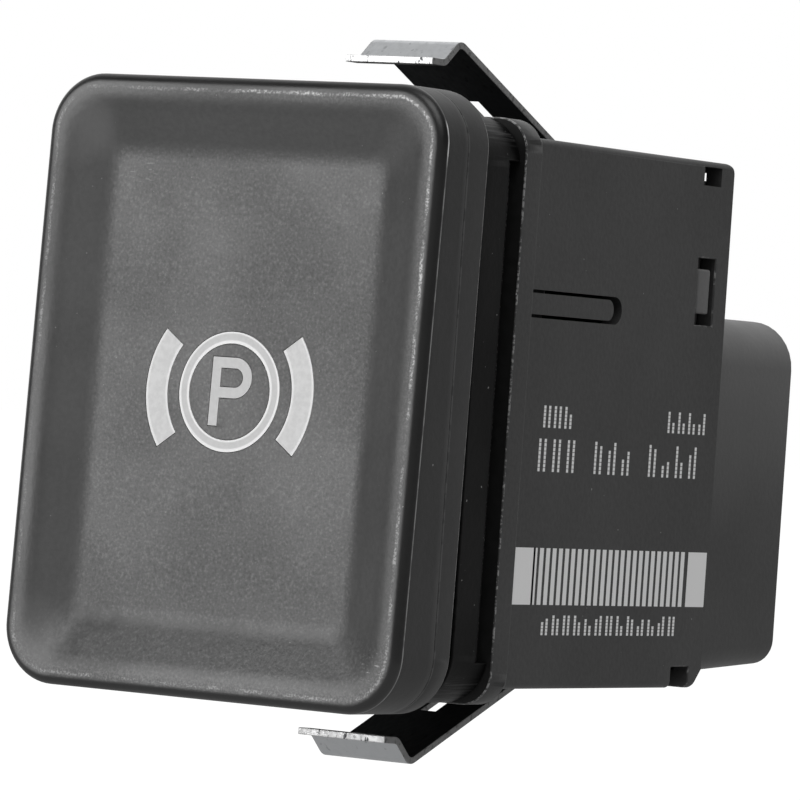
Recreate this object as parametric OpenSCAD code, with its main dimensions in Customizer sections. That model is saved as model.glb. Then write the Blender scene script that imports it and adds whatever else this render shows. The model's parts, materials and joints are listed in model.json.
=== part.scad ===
// Electric parking brake switch for a centre console: a sprung push button
// with a dished cap, in a housing that two spring clips hold in its panel.
// X runs across the button, Y from the button back to the connector, Z up.
// The origin is the middle of the housing collar's front face.

/* [Button cap] */
// Width of the button
cap_w = 27.7; // [25:0.1:32]
// Height of the button
cap_h = 36; // [33:0.1:42]
// Corner radius of the button's outline
cap_r = 3.5; // [2.5:0.1:4.5]
// Depth of the cap from the middle of its rim to the seam
cap_depth = 3.3; // [3:0.1:5]
// Backward lean of the cap's front, in degrees
cap_lean = 2.3; // [0:0.1:2.6]
// Radius of the rounded front edge
cap_edge_r = 0.6; // [0.4:0.05:0.8]
// Thickness of the cap's skirt
cap_skirt = 1; // [0.8:0.05:1.3]
// Thickness of the cap's front wall under the dish
cap_front_wall = 1.1; // [0.9:0.05:1.3]
// Height of the button's middle above the housing's middle
cap_rise = 0.3; // [0:0.05:0.6]

/* [Finger dish] */
// Depth of the dish in the cap's front
dish_depth = 1.1; // [0.8:0.05:1.4]
// Width of the dish's sloping border
dish_border = 4.1; // [3:0.1:4.5]
// Corner radius of the dish's floor
dish_floor_r = 0.9; // [0.5:0.1:1.4]

/* [Symbol] */
// Outer diameter of the ring round the letter
ring_d = 7; // [6:0.1:8]
// Width of the ring's line
ring_line = 0.68; // [0.5:0.02:0.9]
// Gap between the ring and the two brake shoe arcs
shoe_gap = 0.85; // [0.6:0.05:1.2]
// Width of the brake shoe arcs
shoe_line = 1.5; // [1.1:0.05:1.7]
// Half of the angle that each arc spans, in degrees
shoe_half_angle = 36; // [30:1:45]
// Height of the letter
letter_h = 4; // [3.4:0.1:4.4]
// Width of the letter
letter_w = 2.8; // [2.4:0.1:3]
// Width of the letter's line
letter_line = 0.62; // [0.5:0.02:0.8]
// Depth of the symbol's inlay
inlay_depth = 0.4; // [0.3:0.05:0.6]
// Height of the symbol's middle above the button's middle
symbol_rise = -0.15; // [-1:0.05:1]

/* [Button carrier] */
// Thickness of the carrier's flange behind the seam
flange_t = 1.95; // [1.6:0.05:2.4]
// Lean of the flange's rear face, in degrees
flange_lean = 1; // [0:0.1:1.2]
// Travel of the button
travel = 1.7; // [1:0.05:1.8]
// Gap left between the flange and the guide frame when the button is pressed
stop_gap = 0.05; // [0.03:0.01:0.3]
// Running clearance between the carrier's sleeve and the guide frame
run_clear = 0.25; // [0.15:0.01:0.4]
// Wall of the carrier's sleeve
sleeve_wall = 0.9; // [0.7:0.05:1.2]

/* [Guide frame] */
// Step from the collar's side in to the guide frame's front flange
neck_side_step = 0.3; // [0.1:0.05:0.6]
// Step from the collar's top down to the guide frame's front flange
neck_top_step = 0.02; // [0.01:0.01:0.4]
// Corner radius of the front flange
neck_r = 3; // [2.4:0.1:3.4]
// Thickness of the front flange
neck_t = 2.55; // [2:0.05:3]
// Width of the dark groove between the flange and the collar
groove_w = 1.27; // [0.9:0.01:1.6]
// Length of the corner pads that bridge the groove
pad_len = 2.55; // [1.6:0.05:3]
// Wall of the guide tube
tube_wall = 1; // [0.8:0.05:1.2]

/* [Housing] */
// Width of the housing
case_w = 25.66; // [25.4:0.01:26.4]
// Height of the housing
case_h = 32.26; // [31.8:0.02:33]
// Length of the housing from the collar's front face
case_len = 24.54; // [24.2:0.02:26]
// Wall of the housing
case_wall = 1.1; // [0.9:0.05:1.25]
// Radius of the housing's edges
case_r = 0.7; // [0.4:0.05:1]
// Step from the housing's side out to the collar
collar_side_step = 0.07; // [0.03:0.01:0.4]
// Step from the housing's top up to the collar
collar_top_step = 1.03; // [0.6:0.01:1.4]
// Corner radius of the collar
collar_r = 2; // [1.6:0.1:3]
// Thickness of the collar
collar_t = 1.76; // [1.4:0.02:2.2]
// Clearance of a piece that is pushed into the housing
fit_clear = 0.05; // [0.03:0.01:0.1]

/* [Housing sides] */
// Height of the snap finger's middle
finger_z = 6.48; // [5:0.02:8]
// Width of the snap finger's slot
finger_slot_w = 1.65; // [1.4:0.05:2.2]
// Length of the snap finger
finger_len = 9.4; // [8:0.1:10]
// Gap at the snap finger's free end
finger_gap = 0.95; // [0.6:0.05:1.2]
// Width of the slits beside the snap finger
finger_slit = 0.2; // [0.12:0.01:0.25]
// Height of the latch window's middle
window_z = 8.15; // [7:0.05:9.5]
// Height of the latch window
window_h = 4.1; // [3.6:0.1:5]
// Length of the latch window
window_len = 2.1; // [1.8:0.1:2.6]
// Height of the latch tab in its window
latch_h = 2.75; // [1.8:0.05:3]
// Length of the latch tab
latch_len = 1.55; // [1.2:0.05:1.7]
// Distance from the housing's rear to the latch window and corner slots
window_rear = 1.55; // [1.4:0.05:1.8]
// Height of the corner slots
corner_slot_h = 1.15; // [0.8:0.05:1.4]
// Thickness of the top wall that is left above the upper corner slots
corner_slot_roof = 0.35; // [0.25:0.05:0.5]
// Height of the lower corner slots
low_slot_h = 1.3; // [0.8:0.05:1.6]
// Height of the chamfer on the housing's lower rear edge
chamfer_h = 1.15; // [0.8:0.05:1.4]
// Length of that chamfer along the housing
chamfer_len = 1.05; // [0.8:0.05:1.3]

/* [Rear base] */
// Thickness of the rear base's plate
base_t = 1.8; // [1.4:0.1:2.2]
// Wall of the rear base's skirt
base_wall = 1; // [0.8:0.05:1.3]
// Width of the connector shroud
shroud_w = 19.66; // [19:0.02:21]
// Height of the connector shroud
shroud_h = 21.8; // [21:0.1:23]
// Radius of the shroud's two upper corners
shroud_r = 3; // [2:0.1:4]
// Radius of the shroud's two lower corners
shroud_low_r = 1.6; // [1.2:0.1:2.4]
// Wall of the connector shroud
shroud_wall = 1.4; // [1.1:0.05:1.8]
// Length of the connector shroud behind the housing
shroud_len = 14.35; // [12:0.05:18]
// Height of the shroud's mouth above the housing's underside
shroud_foot = 1.13; // [1:0.01:4]
// Rise of the shroud's lower side from the housing to the mouth
shroud_draft = 0.8; // [0:0.05:0.9]
// Width of the lock window in the shroud's upper wall
lock_w = 6; // [4:0.1:8]
// Length of the lock window
lock_len = 2.4; // [1.6:0.1:3]
// Distance of the lock window from the shroud's mouth
lock_back = 2.6; // [2:0.1:4]

/* [Terminals] */
// Number of terminals in a row
pin_count = 6; // [3:1:6]
// Spacing of the terminals in a row
pin_pitch = 2.54; // [2:0.02:2.6]
// Distance between the two rows
row_pitch = 5.08; // [4.6:0.02:6]
// Side of a terminal's square section
pin_side = 0.64; // [0.5:0.02:0.8]
// Length of the terminals behind the base plate
pin_reach = 8.4; // [6:0.1:9]

/* [Circuit board] */
// Thickness of the circuit board
board_t = 1.6; // [1:0.1:1.6]
// Length of the posts that carry the circuit board on the rear base
post_len = 6.54; // [4.5:0.02:7]
// Gap between the circuit board's edge and the housing
board_gap = 0.43; // [0.2:0.01:1]

/* [Switches and light] */
// Gap between each microswitch and the line of the sleeve's inner wall
switch_side_gap = 0.03; // [0.02:0.01:0.3]
// Gap between each microswitch and the light guide
switch_gap = 0.9; // [0.6:0.05:1.2]
// Height of a microswitch
switch_h = 6.2; // [5:0.1:7]
// Depth of a microswitch
switch_d = 5.5; // [5:0.1:5.8]
// Diameter of a switch plunger
plunger_d = 2.6; // [2:0.1:3]
// Length of a switch plunger that stands out of its switch
plunger_out = 2; // [1.9:0.05:2.2]
// Length of the pushers that reach from the press plate to the plungers
pusher_len = 2.7; // [2:0.1:3.4]
// Running clearance round a switch plunger
plunger_clear = 0.06; // [0.03:0.01:0.1]
// Share of the sleeve's inside width that the light guide takes
light_share = 0.294; // [0.24:0.002:0.3]
// Gap between the light guide and the pressed button's lamps
light_gap = 0.4; // [0.3:0.05:0.6]

/* [Return springs] */
// Distance of each spring's axis from the sleeve's side wall
spring_side_inset = 2.5; // [2.2:0.05:3]
// Distance of each spring's axis from the sleeve's top or bottom wall
spring_top_inset = 3.5; // [3:0.05:4]
// Outer diameter of the springs
spring_d = 3.6; // [3:0.1:4]
// Wire diameter of the springs
wire_d = 0.4; // [0.3:0.02:0.5]
// Number of turns
spring_turns = 6; // [4:1:8]

/* [Spring clips] */
// Width of the spring clips
clip_w = 6.2; // [5:0.1:8]
// Thickness of the clip steel
clip_t = 0.42; // [0.3:0.02:0.5]
// Height of the upper clip's crest above the housing's middle
clip_crest_z = 21.9; // [20.5:0.05:22.4]
// Distance of the crest behind the collar's front face
clip_crest_y = 7.55; // [6.6:0.05:9]
// Drop from the crest to the clip's lip
lip_drop = 1.3; // [0.9:0.05:1.6]
// Length of the clip's lip and its ramp, along the housing
lip_len = 3.1; // [2.6:0.05:3.4]
// Length of the lip's flat
lip_flat = 1.5; // [1:0.05:1.8]
// Radius of the clip's bends, to the middle of the steel
clip_bend_r = 0.8; // [0.5:0.05:0.9]
// Distance of the clip's root from the housing's rear
clip_root_back = 4.7; // [4.4:0.05:5.2]
// Width of the slot in the clip's leaf
clip_slot_w = 1.1; // [0.6:0.05:1.4]
// Length of the slot in the clip's leaf
clip_slot_len = 5.2; // [2:0.1:6]
// Inward set of the lower clip, in degrees
lower_set = 2.4; // [0:0.1:4]

/* [Hidden] */
$fn = 48;

// Steps of a rounded corner and of a rounded edge in the lofted cap
corner_steps = 8;
edge_steps = 4;
border_steps = 9;

// Flat top of the rim, and the shares of the border that blend into rim and floor
rim_flat = 0.3;
rim_blend = 0.25;
floor_blend = 0.3;
crest_inset = cap_edge_r + rim_flat;

// Length of the guide tube behind the press plate
tube_lip = 0.6;

// Overlap of two bodies that are joined into one piece
bite = 0.1;

// Places along Y, from the button back to the connector
neck_front = -(neck_t + groove_w);
collar_w = case_w + 2 * collar_side_step;
collar_h = case_h + 2 * collar_top_step;
neck_w = collar_w - 2 * neck_side_step;
neck_h = collar_h - 2 * neck_top_step;
flange_rear = neck_front - travel - stop_gap - tan(flange_lean) * cap_h / 2;
seam_y = flange_rear - flange_t;
rim_y = seam_y - cap_depth;
plate_front = case_len - base_t;
board_rear = plate_front - post_len;
board_y = board_rear - board_t;
switch_front = board_y - switch_d;
plunger_front = switch_front - plunger_out;
plate_rear = plunger_front - pusher_len;
tube_end = plate_rear + tube_lip;
window_front = case_len - window_rear - window_len;
corner_slot_z = case_h / 2 - corner_slot_roof - corner_slot_h / 2;
corner_depth = 2.6;
corner_open = 0.5;
clip_root_y = case_len - clip_root_back;
clip_swing = 0.75;
clip_side_gap = 0.15;
clip_foot = 0.9;
bend_steps = 8;
clip_slot_root = 1.2;

// Fits of the terminals, posts of the circuit board, coding ribs in the connector shroud
pin_fit = 0.02;
board_fit = 0.03;
post_w = 2;
post_h = 2.4;
post_side_inset = 1.6;
post_top_inset = 3;
rib_out = 0.8;
rib_h = 1.2;
rib_back = 1.5;

// Inside of the housing, the tube that fits it and the sleeve that runs in the tube
case_in_w = case_w - 2 * case_wall;
case_in_h = case_h - 2 * case_wall;
tube_w = case_in_w - 2 * fit_clear;
tube_h = case_in_h - 2 * fit_clear;
sleeve_w = tube_w - 2 * tube_wall - 2 * run_clear;
sleeve_h = tube_h - 2 * tube_wall - 2 * run_clear;
inner_r = 1;
sleeve_short = 0.4;
case_edge_r = 0.4;
board_w = case_in_w - 2 * board_gap;
board_h = case_in_h - 2 * board_gap;
shroud_drop = case_h / 2 - shroud_foot - shroud_h / 2;
shoe_d = ring_d + 2 * shoe_gap + 2 * shoe_line;
sleeve_in_w = sleeve_w - 2 * sleeve_wall;
sleeve_in_h = sleeve_h - 2 * sleeve_wall;
light_side = sleeve_in_w * light_share;
switch_w = (sleeve_in_w - light_side) / 2 - switch_gap - switch_side_gap;
switch_x = sleeve_in_w / 2 - switch_side_gap - switch_w / 2;
spring_x = sleeve_in_w / 2 - spring_side_inset;
spring_z = sleeve_in_h / 2 - spring_top_inset;

// Retaining hooks of the sleeve, behind the guide tube
hook_w = 5;
hook_len = 1.2;
hook_land = 0.3;
hook_gap = 0.05;
hook_side_gap = 0.15;
hook_inset = 1.3;
hook_out = tube_wall + run_clear - hook_side_gap;
arm_end = tube_end + hook_gap + hook_len;
hook_z = sleeve_in_h / 2 - hook_w / 2 - hook_inset;

// Press plate across the sleeve's rear, and the pushers and pegs on it
plate_t = 1.2;
pusher_d = plunger_d - 0.2;
peg_len = 2;
peg_d = spring_d - 2 * wire_d - 0.3;

// Light guide from the cap to just in front of the lamps
led_inset = 1.2;
led_w = light_side - 2 * led_inset;
led_h = 1.6;
led_d = 1;
led_step = 1;
chip_w = 1.25;
chip_h = 2;
chip_t = 0.5;
chip_edge_gap = 0.8;
light_rear = board_y - led_d - travel - light_gap;
light_front = rim_y + dish_depth + cap_front_wall + fit_clear;
light_foot = 1;
well_wall = 0.8;

// A prism of a flat outline drawn in X and Z, from y0 to y1
module along_y(y0, y1) {
    translate([0, y1, 0])
        rotate([90, 0, 0])
            linear_extrude(height = y1 - y0)
                children();
}

// A prism of a flat outline drawn in Y and Z, centred on X
module along_x(width) {
    translate([-width / 2, 0, 0])
        rotate([90, 0, 90])
            linear_extrude(height = width)
                children();
}

// A rectangle with round corners, centred
module rounded(w, h, r) {
    union() {
        square([w - 2 * r, h], center = true);
        square([w, h - 2 * r], center = true);
        for (sx = [-1, 1], sz = [-1, 1])
            translate([sx * (w / 2 - r), sz * (h / 2 - r)])
                circle(r);
    }
}

// A box by its centre in X and Z and its two ends in Y
module block(x, z, w, h, y0, y1) {
    translate([x - w / 2, y0, z - h / 2])
        cube([w, y1 - y0, h]);
}

// A round rod along Y
module rod(x, z, d, y0, y1) {
    translate([x, y1, z])
        rotate([90, 0, 0])
            cylinder(d = d, h = y1 - y0);
}

// One quarter of a ring's outline, as points in X and Z
function corner(cx, cz, r, start) = [
    for (i = [0:corner_steps])
        let (a = start + 90 * i / corner_steps)
            [cx + r * cos(a), cz + r * sin(a)]
];

// A ring of the cap: half width a, half height b, corner radius r
function outline(a, b, r) = concat(
    corner(a - r, b - r, r, 0), corner(r - a, b - r, r, 90),
    corner(r - a, r - b, r, 180), corner(a - r, r - b, r, 270)
);

// A ring that lies a depth behind the leaning front plane
function leaning_ring(a, b, r, depth) = [
    for (p = outline(a, b, r))
        [p[0], rim_y + depth + p[1] * tan(cap_lean), p[1]]
];

// Depth of the dish's border, from 0 at the rim to 1 at the floor: a straight
// slope that blends into the rim and into the floor
function slope_share(t) =
    let (full = 1 - (rim_blend + floor_blend) / 2, left = 1 - t)
        (t < rim_blend ? t * t / (2 * rim_blend)
            : left < floor_blend ? full - left * left / (2 * floor_blend)
            : t - rim_blend / 2) / full;

// Solid skin over a list of rings with equal numbers of points
module skin(rings) {
    n = len(rings[0]);
    last = len(rings) - 1;
    points = [for (ring = rings) for (p = ring) p];
    sides = [
        for (k = [0:last - 1]) for (i = [0:n - 1])
            let (j = (i + 1) % n, r = k * n, f = (k + 1) * n)
                each [[f + i, f + j, r + j], [f + i, r + j, r + i]]
    ];
    rear = [[for (i = [0:n - 1]) i]];
    front = [[for (i = [n - 1:-1:0]) last * n + i]];
    polyhedron(points, concat(rear, sides, front), convexity = 6);
}

// Rings of the rounded front edge
edge_rings = [
    for (i = [0:edge_steps])
        let (a = 90 * i / edge_steps, inset = cap_edge_r * (1 - cos(a)))
            leaning_ring(cap_w / 2 - inset, cap_h / 2 - inset, cap_r - inset,
                cap_edge_r * (1 - sin(a)))
];

// Rings of the dish, from its crest down to its floor
dish_rings = [
    for (i = [1:border_steps])
        let (t = i / border_steps, inset = crest_inset + dish_border * t)
            leaning_ring(cap_w / 2 - inset, cap_h / 2 - inset,
                (cap_r - crest_inset) * (1 - t) + dish_floor_r * t,
                dish_depth * slope_share(t))
];

// Ring on the rim, where the dish begins
crest_ring = leaning_ring(cap_w / 2 - crest_inset, cap_h / 2 - crest_inset,
    cap_r - crest_inset, 0);

rear_ring = [for (p = outline(cap_w / 2, cap_h / 2, cap_r)) [p[0], seam_y, p[1]]];

// Moves a piece that was drawn on the cap's front plane onto the dish's floor
module on_dish_floor() {
    translate([0, rim_y, cap_rise])
        rotate([-cap_lean, 0, 0])
            translate([0, dish_depth * cos(cap_lean), symbol_rise])
                children();
}

// Ring, letter and brake shoe arcs of the parking brake symbol
module symbol_outline() {
    difference() {
        circle(d = ring_d);
        circle(d = ring_d - 2 * ring_line);
    }
    letter_outline();
    for (side = [0, 1])
        mirror([side, 0])
            shoe_outline();
}

// One brake shoe arc, on the right of the ring
module shoe_outline() {
    reach = shoe_d;
    intersection() {
        difference() {
            circle(d = shoe_d);
            circle(d = shoe_d - 2 * shoe_line);
        }
        polygon([
            [0, 0],
            [reach * cos(shoe_half_angle), -reach * sin(shoe_half_angle)],
            [reach * cos(shoe_half_angle), reach * sin(shoe_half_angle)]
        ]);
    }
}

// The letter: an upright stem and a half-round bowl
module letter_outline() {
    bowl_h = letter_h * 0.59;
    bowl_r = bowl_h / 2;
    left = -letter_w / 2 + 0.1;
    flat = letter_w - bowl_r;
    translate([left, -letter_h / 2])
        square([letter_line, letter_h]);
    translate([left, letter_h / 2 - bowl_h])
        difference() {
            union() {
                square([flat, bowl_h]);
                translate([flat, bowl_r])
                    circle(bowl_r);
            }
            translate([letter_line, letter_line])
                square([flat - letter_line, bowl_h - 2 * letter_line]);
            translate([flat, bowl_r])
                circle(bowl_r - letter_line);
        }
}

// Dished cap, hollow behind, with a light well round the light guide
module button_cap() {
    color("#454545")
        difference() {
            translate([0, 0, cap_rise])
                difference() {
                    skin(concat([rear_ring], edge_rings, [crest_ring], dish_rings));
                    cap_hollow();
                }
            on_dish_floor()
                along_y(-1, inlay_depth)
                    symbol_outline();
        }
}

// Space behind the cap's front wall, round the light well
module cap_hollow() {
    well_side = light_side + 2 * well_wall;
    difference() {
        along_y(rim_y, seam_y + 1)
            rounded(cap_w - 2 * cap_skirt, cap_h - 2 * cap_skirt, cap_r - cap_skirt);
        translate([0, rim_y, 0])
            rotate([-cap_lean, 0, 0])
                block(0, 0, 2 * cap_w, 2 * cap_h, -cap_depth, dish_depth + cap_front_wall);
        translate([0, 0, -cap_rise])
            block(0, 0, well_side, well_side, rim_y, seam_y);
    }
    translate([0, 0, -cap_rise])
        block(0, 0, light_side + 2 * fit_clear, light_side + 2 * fit_clear, light_front, seam_y + 1);
}

// Translucent inlay that fills the symbol's recess in the cap
module symbol_inlay() {
    color("#d8d8d8")
        on_dish_floor()
            along_y(0, inlay_depth)
                symbol_outline();
}

// Flange that closes the cap, and the sleeve that runs in the guide frame
module button_carrier() {
    color("#393939")
        difference() {
            union() {
                carrier_flange();
                along_y(seam_y + bite, tube_end - sleeve_short)
                    rounded(sleeve_w, sleeve_h, inner_r);
                for (side = [-1, 1])
                    carrier_arm(side);
            }
            along_y(seam_y - 1, arm_end + 1)
                rounded(sleeve_in_w, sleeve_in_h, inner_r);
        }
}

// Flange with the same outline as the cap and a leaning rear face
module carrier_flange() {
    lean = tan(flange_lean);
    far = cap_h;
    translate([0, 0, cap_rise])
        intersection() {
            along_y(seam_y, flange_rear + far * lean)
                rounded(cap_w, cap_h, cap_r);
            along_x(cap_w + 2)
                polygon([
                    [seam_y, -far], [flange_rear - far * lean, -far],
                    [flange_rear + far * lean, far], [seam_y, far]
                ]);
        }
}

// Two arms on a side of the sleeve, each with a hook behind the guide tube
module carrier_arm(side) {
    x_in = sleeve_in_w / 2;
    for (sz = [-1, 1]) {
        block(side * (x_in + sleeve_wall / 2), sz * hook_z, sleeve_wall, hook_w,
            tube_end - 1, arm_end);
        translate([0, 0, sz * hook_z - hook_w / 2])
            linear_extrude(height = hook_w)
                polygon([
                    [side * x_in, arm_end],
                    [side * sleeve_w / 2, arm_end],
                    [side * (sleeve_w / 2 + hook_out), tube_end + hook_gap + hook_land],
                    [side * (sleeve_w / 2 + hook_out), tube_end + hook_gap],
                    [side * x_in, tube_end + hook_gap]
                ]);
    }
}

// Plate in the sleeve's rear with the pushers and the spring pegs
module press_plate() {
    color("#e6e1d2")
        difference() {
            union() {
                along_y(plate_rear - plate_t, plate_rear)
                    rounded(sleeve_in_w - 2 * fit_clear, sleeve_in_h - 2 * fit_clear, inner_r);
                for (side = [-1, 1]) {
                    rod(side * switch_x, 0, pusher_d, plate_rear - bite, plunger_front);
                    rod(side * spring_x, side * spring_z, peg_d,
                        plate_rear - bite, plate_rear + peg_len);
                }
            }
            block(0, 0, light_side + 2 * fit_clear, light_side + 2 * fit_clear,
                plate_rear - plate_t - 1, plate_rear + 1);
        }
}

// Clear block that carries the lamps' light to the cap
module light_guide() {
    color("#dfe8ee")
        union() {
            block(0, 0, light_side, light_side, light_front, light_rear);
            block(0, 0, light_side + 2 * light_foot, light_side + 2 * light_foot,
                plate_rear - plate_t - light_foot, plate_rear - plate_t);
        }
}

// Front flange and guide tube, fixed in the mouth of the housing
module guide_frame() {
    color("#2b2b2b")
        difference() {
            union() {
                along_y(neck_front, -groove_w)
                    rounded(neck_w, neck_h, neck_r);
                along_y(-groove_w - bite, 0)
                    groove_pads();
                along_y(-groove_w - bite, tube_end)
                    rounded(tube_w, tube_h, inner_r);
            }
            along_y(neck_front - 1, tube_end + 1)
                rounded(tube_w - 2 * tube_wall, tube_h - 2 * tube_wall, inner_r);
        }
}

// Corner pads that rest on the collar
module groove_pads() {
    intersection() {
        rounded(neck_w, neck_h, neck_r);
        for (sx = [-1, 1], sz = [-1, 1])
            translate([sx * neck_w / 2, sz * neck_h / 2])
                square([2 * pad_len + 2, 2 * pad_len], center = true);
    }
}

// Box of the switch with its collar, fingers, windows and clip slots
module housing() {
    color("#3d3d3d")
        difference() {
            union() {
                along_y(0, collar_t)
                    rounded(collar_w, collar_h, collar_r);
                case_box();
            }
            along_y(-1, case_len + 1)
                square([case_in_w, case_in_h], center = true);
            for (side = [-1, 1]) {
                finger_cut(side);
                side_windows(side);
                clip_slot(side);
            }
        }
}

// Outside of the box behind the collar: in side view its upper rear edge is round
// and its lower one is cut off
module case_box() {
    top = case_h / 2;
    intersection() {
        along_y(collar_t - bite, case_len)
            rounded(case_w, case_h, case_edge_r);
        along_x(case_w + 2)
            union() {
                polygon([
                    [0, -top], [case_len - chamfer_len, -top],
                    [case_len, chamfer_h - top], [case_len, top - case_r],
                    [case_len - case_r, top - case_r], [case_len - case_r, top], [0, top]
                ]);
                translate([case_len - case_r, top - case_r])
                    circle(case_r);
            }
    }
}

// Slits and end gap that free a snap finger in a side wall
module finger_cut(side) {
    r = finger_slot_w / 2;
    r_in = r - finger_slit;
    y0 = collar_t;
    tip = y0 + finger_len;
    translate([side * (case_w / 2 - case_wall / 2), 0, finger_z])
        along_x(case_wall + 1)
            difference() {
                union() {
                    translate([y0, -r])
                        square([finger_len + finger_gap - r, 2 * r]);
                    translate([tip + finger_gap - r, 0])
                        circle(r);
                }
                translate([y0 - 1, -r_in])
                    square([finger_len - r_in + 1, 2 * r_in]);
                translate([tip - r_in, 0])
                    circle(r_in);
            }
}

// Latch window and corner slots in a side wall
module side_windows(side) {
    wall_x = side * (case_w / 2 - case_wall / 2);
    cut = case_wall + 1;
    y1 = window_front + window_len;
    block(wall_x, window_z, cut, window_h, window_front, y1);
    block(wall_x, corner_slot_z, cut, corner_slot_h, window_front, y1);
    block(side * (case_in_w / 2 - corner_depth / 2), case_in_h / 2 + (corner_open - bite) / 2,
        corner_depth, corner_open + bite, window_front, case_len + 1);
    block(wall_x, -case_h / 2, cut, 2 * low_slot_h, window_front, y1);
}

// Slot in the top or bottom wall that the clip's foot enters
module clip_slot(side) {
    block(0, side * (case_h / 2 - case_wall / 2), clip_w + 2 * clip_side_gap, case_wall + 1,
        clip_root_y - clip_swing, clip_root_y + clip_swing);
}

// Plate, skirt and latches that close the housing, with the connector shroud
module rear_base() {
    color("#404040")
        difference() {
            union() {
                base_body();
                shroud();
                board_posts();
                for (side = [-1, 1])
                    latch(side);
            }
            terminal_holes();
            for (side = [-1, 1])
                base_notch(side);
        }
}

// Plate with a short skirt that reaches forward inside the housing
module base_body() {
    w = case_in_w - 2 * fit_clear;
    h = case_in_h - 2 * fit_clear;
    difference() {
        along_y(window_front - 1, case_len)
            square([w, h], center = true);
        along_y(window_front - 2, plate_front)
            square([w - 2 * base_wall, h - 2 * base_wall], center = true);
    }
}

// Recess of the skirt round a clip's foot
module base_notch(side) {
    block(0, side * case_in_h / 2, clip_w + 4 * clip_side_gap, 2 * base_wall + 1,
        window_front - 2, clip_root_y + clip_swing);
}

// Latch that snaps into the housing's side window
module latch(side) {
    x0 = case_in_w / 2 - base_wall;
    block(side * (x0 + case_wall / 2 + base_wall / 2), window_z, case_wall + base_wall,
        latch_h, window_front + fit_clear, window_front + latch_len);
}

// Posts behind the circuit board
module board_posts() {
    for (sx = [-1, 1], sz = [-1, 1])
        block(sx * (board_w / 2 - post_side_inset), sz * (board_h / 2 - post_top_inset),
            post_w, post_h, board_rear, plate_front + bite);
}

// Outline of the shroud at a distance along Y, its lower side lower by a draft
function shroud_ring(y, draft) =
    let (a = shroud_w / 2, b = shroud_h / 2, low = shroud_low_r - b - draft)
        [
            for (p = concat(
                corner(a - shroud_r, b - shroud_r, shroud_r, 0),
                corner(shroud_r - a, b - shroud_r, shroud_r, 90),
                corner(shroud_low_r - a, low, shroud_low_r, 180),
                corner(a - shroud_low_r, low, shroud_low_r, 270)))
                [p[0], y, p[1]]
        ];

// Connector shroud: an open box round the terminals, with coding ribs and a latch edge
module shroud() {
    shroud_end = case_len + shroud_len;
    in_w = shroud_w - 2 * shroud_wall;
    in_h = shroud_h - 2 * shroud_wall;
    translate([0, 0, -shroud_drop])
        difference() {
            skin([shroud_ring(shroud_end, 0), shroud_ring(case_len, shroud_draft)]);
            difference() {
                along_y(case_len, shroud_end + 1)
                    rounded(in_w, in_h, shroud_r - shroud_wall);
                for (sx = [-1, 1])
                    block(sx * in_w / 2, -in_h / 4, 2 * rib_out, rib_h,
                        case_len - 1, shroud_end - rib_back);
            }
            block(0, in_h / 2, lock_w, 2 * shroud_wall,
                shroud_end - lock_back - lock_len, shroud_end - lock_back);
        }
}

// Square holes for the terminals in the base plate
module terminal_holes() {
    for (side = [-1, 1])
        terminal_row(side, pin_side + 2 * pin_fit, plate_front - 1, case_len + 1);
}

// A row of square rods along Y
module terminal_row(side, width, y0, y1) {
    for (i = [0:pin_count - 1])
        block(side * row_pitch / 2, -shroud_drop + (i - (pin_count - 1) / 2) * pin_pitch,
            width, width, y0, y1);
}

// Row of connector terminals, through the board and the base plate
module terminals(side) {
    color("#c9b37a")
        terminal_row(side, pin_side, board_y - 0.5, case_len + pin_reach);
}

// Circuit board with its terminal holes
module circuit_board() {
    color("#2d5b3a")
        difference() {
            along_y(board_y, board_rear)
                rounded(board_w, board_h, 0.8);
            for (side = [-1, 1], i = [0:pin_count - 1])
                rod(side * row_pitch / 2,
                    -shroud_drop + (i - (pin_count - 1) / 2) * pin_pitch,
                    pin_side * sqrt(2) + 2 * board_fit, board_y - 1, board_rear + 1);
        }
}

// Body of a microswitch, with the bore that its plunger runs in
module microswitch(side) {
    color("#3a3f45")
        difference() {
            block(side * switch_x, 0, switch_w, switch_h, switch_front, board_y);
            rod(side * switch_x, 0, plunger_d + 2 * plunger_clear,
                switch_front - 1, board_y - 0.5);
        }
}

// Plunger of a microswitch
module switch_plunger(side) {
    color("#c8c4ba")
        rod(side * switch_x, 0, plunger_d, plunger_front, board_y - 0.6 - travel);
}

// Coil spring between the press plate and the board
module return_spring(side) {
    y0 = plate_rear;
    y1 = board_y;
    r = (spring_d - wire_d) / 2;
    steps = 12 * spring_turns;
    rise = y1 - y0 - wire_d;
    color("#b8bcc0")
        translate([side * spring_x, 0, side * spring_z])
            skin([
                for (k = [0:steps])
                    let (a = 360 * spring_turns * k / steps, y = y1 - wire_d / 2 - rise * k / steps)
                        [
                            for (j = [0:5])
                                let (b = 60 * j, rr = r + wire_d / 2 * cos(b))
                                    [rr * cos(a), y + wire_d / 2 * sin(b), rr * sin(a)]
                        ]
            ]);
}

// Surface mounted lamp on the board's front
module led(z) {
    color("#e9e4c9")
        block(0, z, led_w, led_h, board_y - led_d, board_y);
}

// Row of chip resistors near the board's upper edge
module chip_resistors() {
    color("#1d1d1d")
        for (i = [-2:2])
            block(i * 2 * chip_w, board_h / 2 - chip_edge_gap - chip_h / 2, chip_w, chip_h,
                board_y - chip_t, board_y);
}

// Corners of a clip's middle line in Y and Z, from the lip to the foot
function clip_path() = [
    [clip_crest_y - lip_len, clip_crest_z - lip_drop],
    [clip_crest_y - lip_len + lip_flat, clip_crest_z - lip_drop],
    [clip_crest_y, clip_crest_z],
    [clip_root_y, case_h / 2 + clip_t / 2],
    [clip_root_y, case_in_h / 2 - clip_foot]
];

// Direction of a path's straight part that starts at corner i
function heading(path, i) = (path[i + 1] - path[i]) / norm(path[i + 1] - path[i]);

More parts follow.
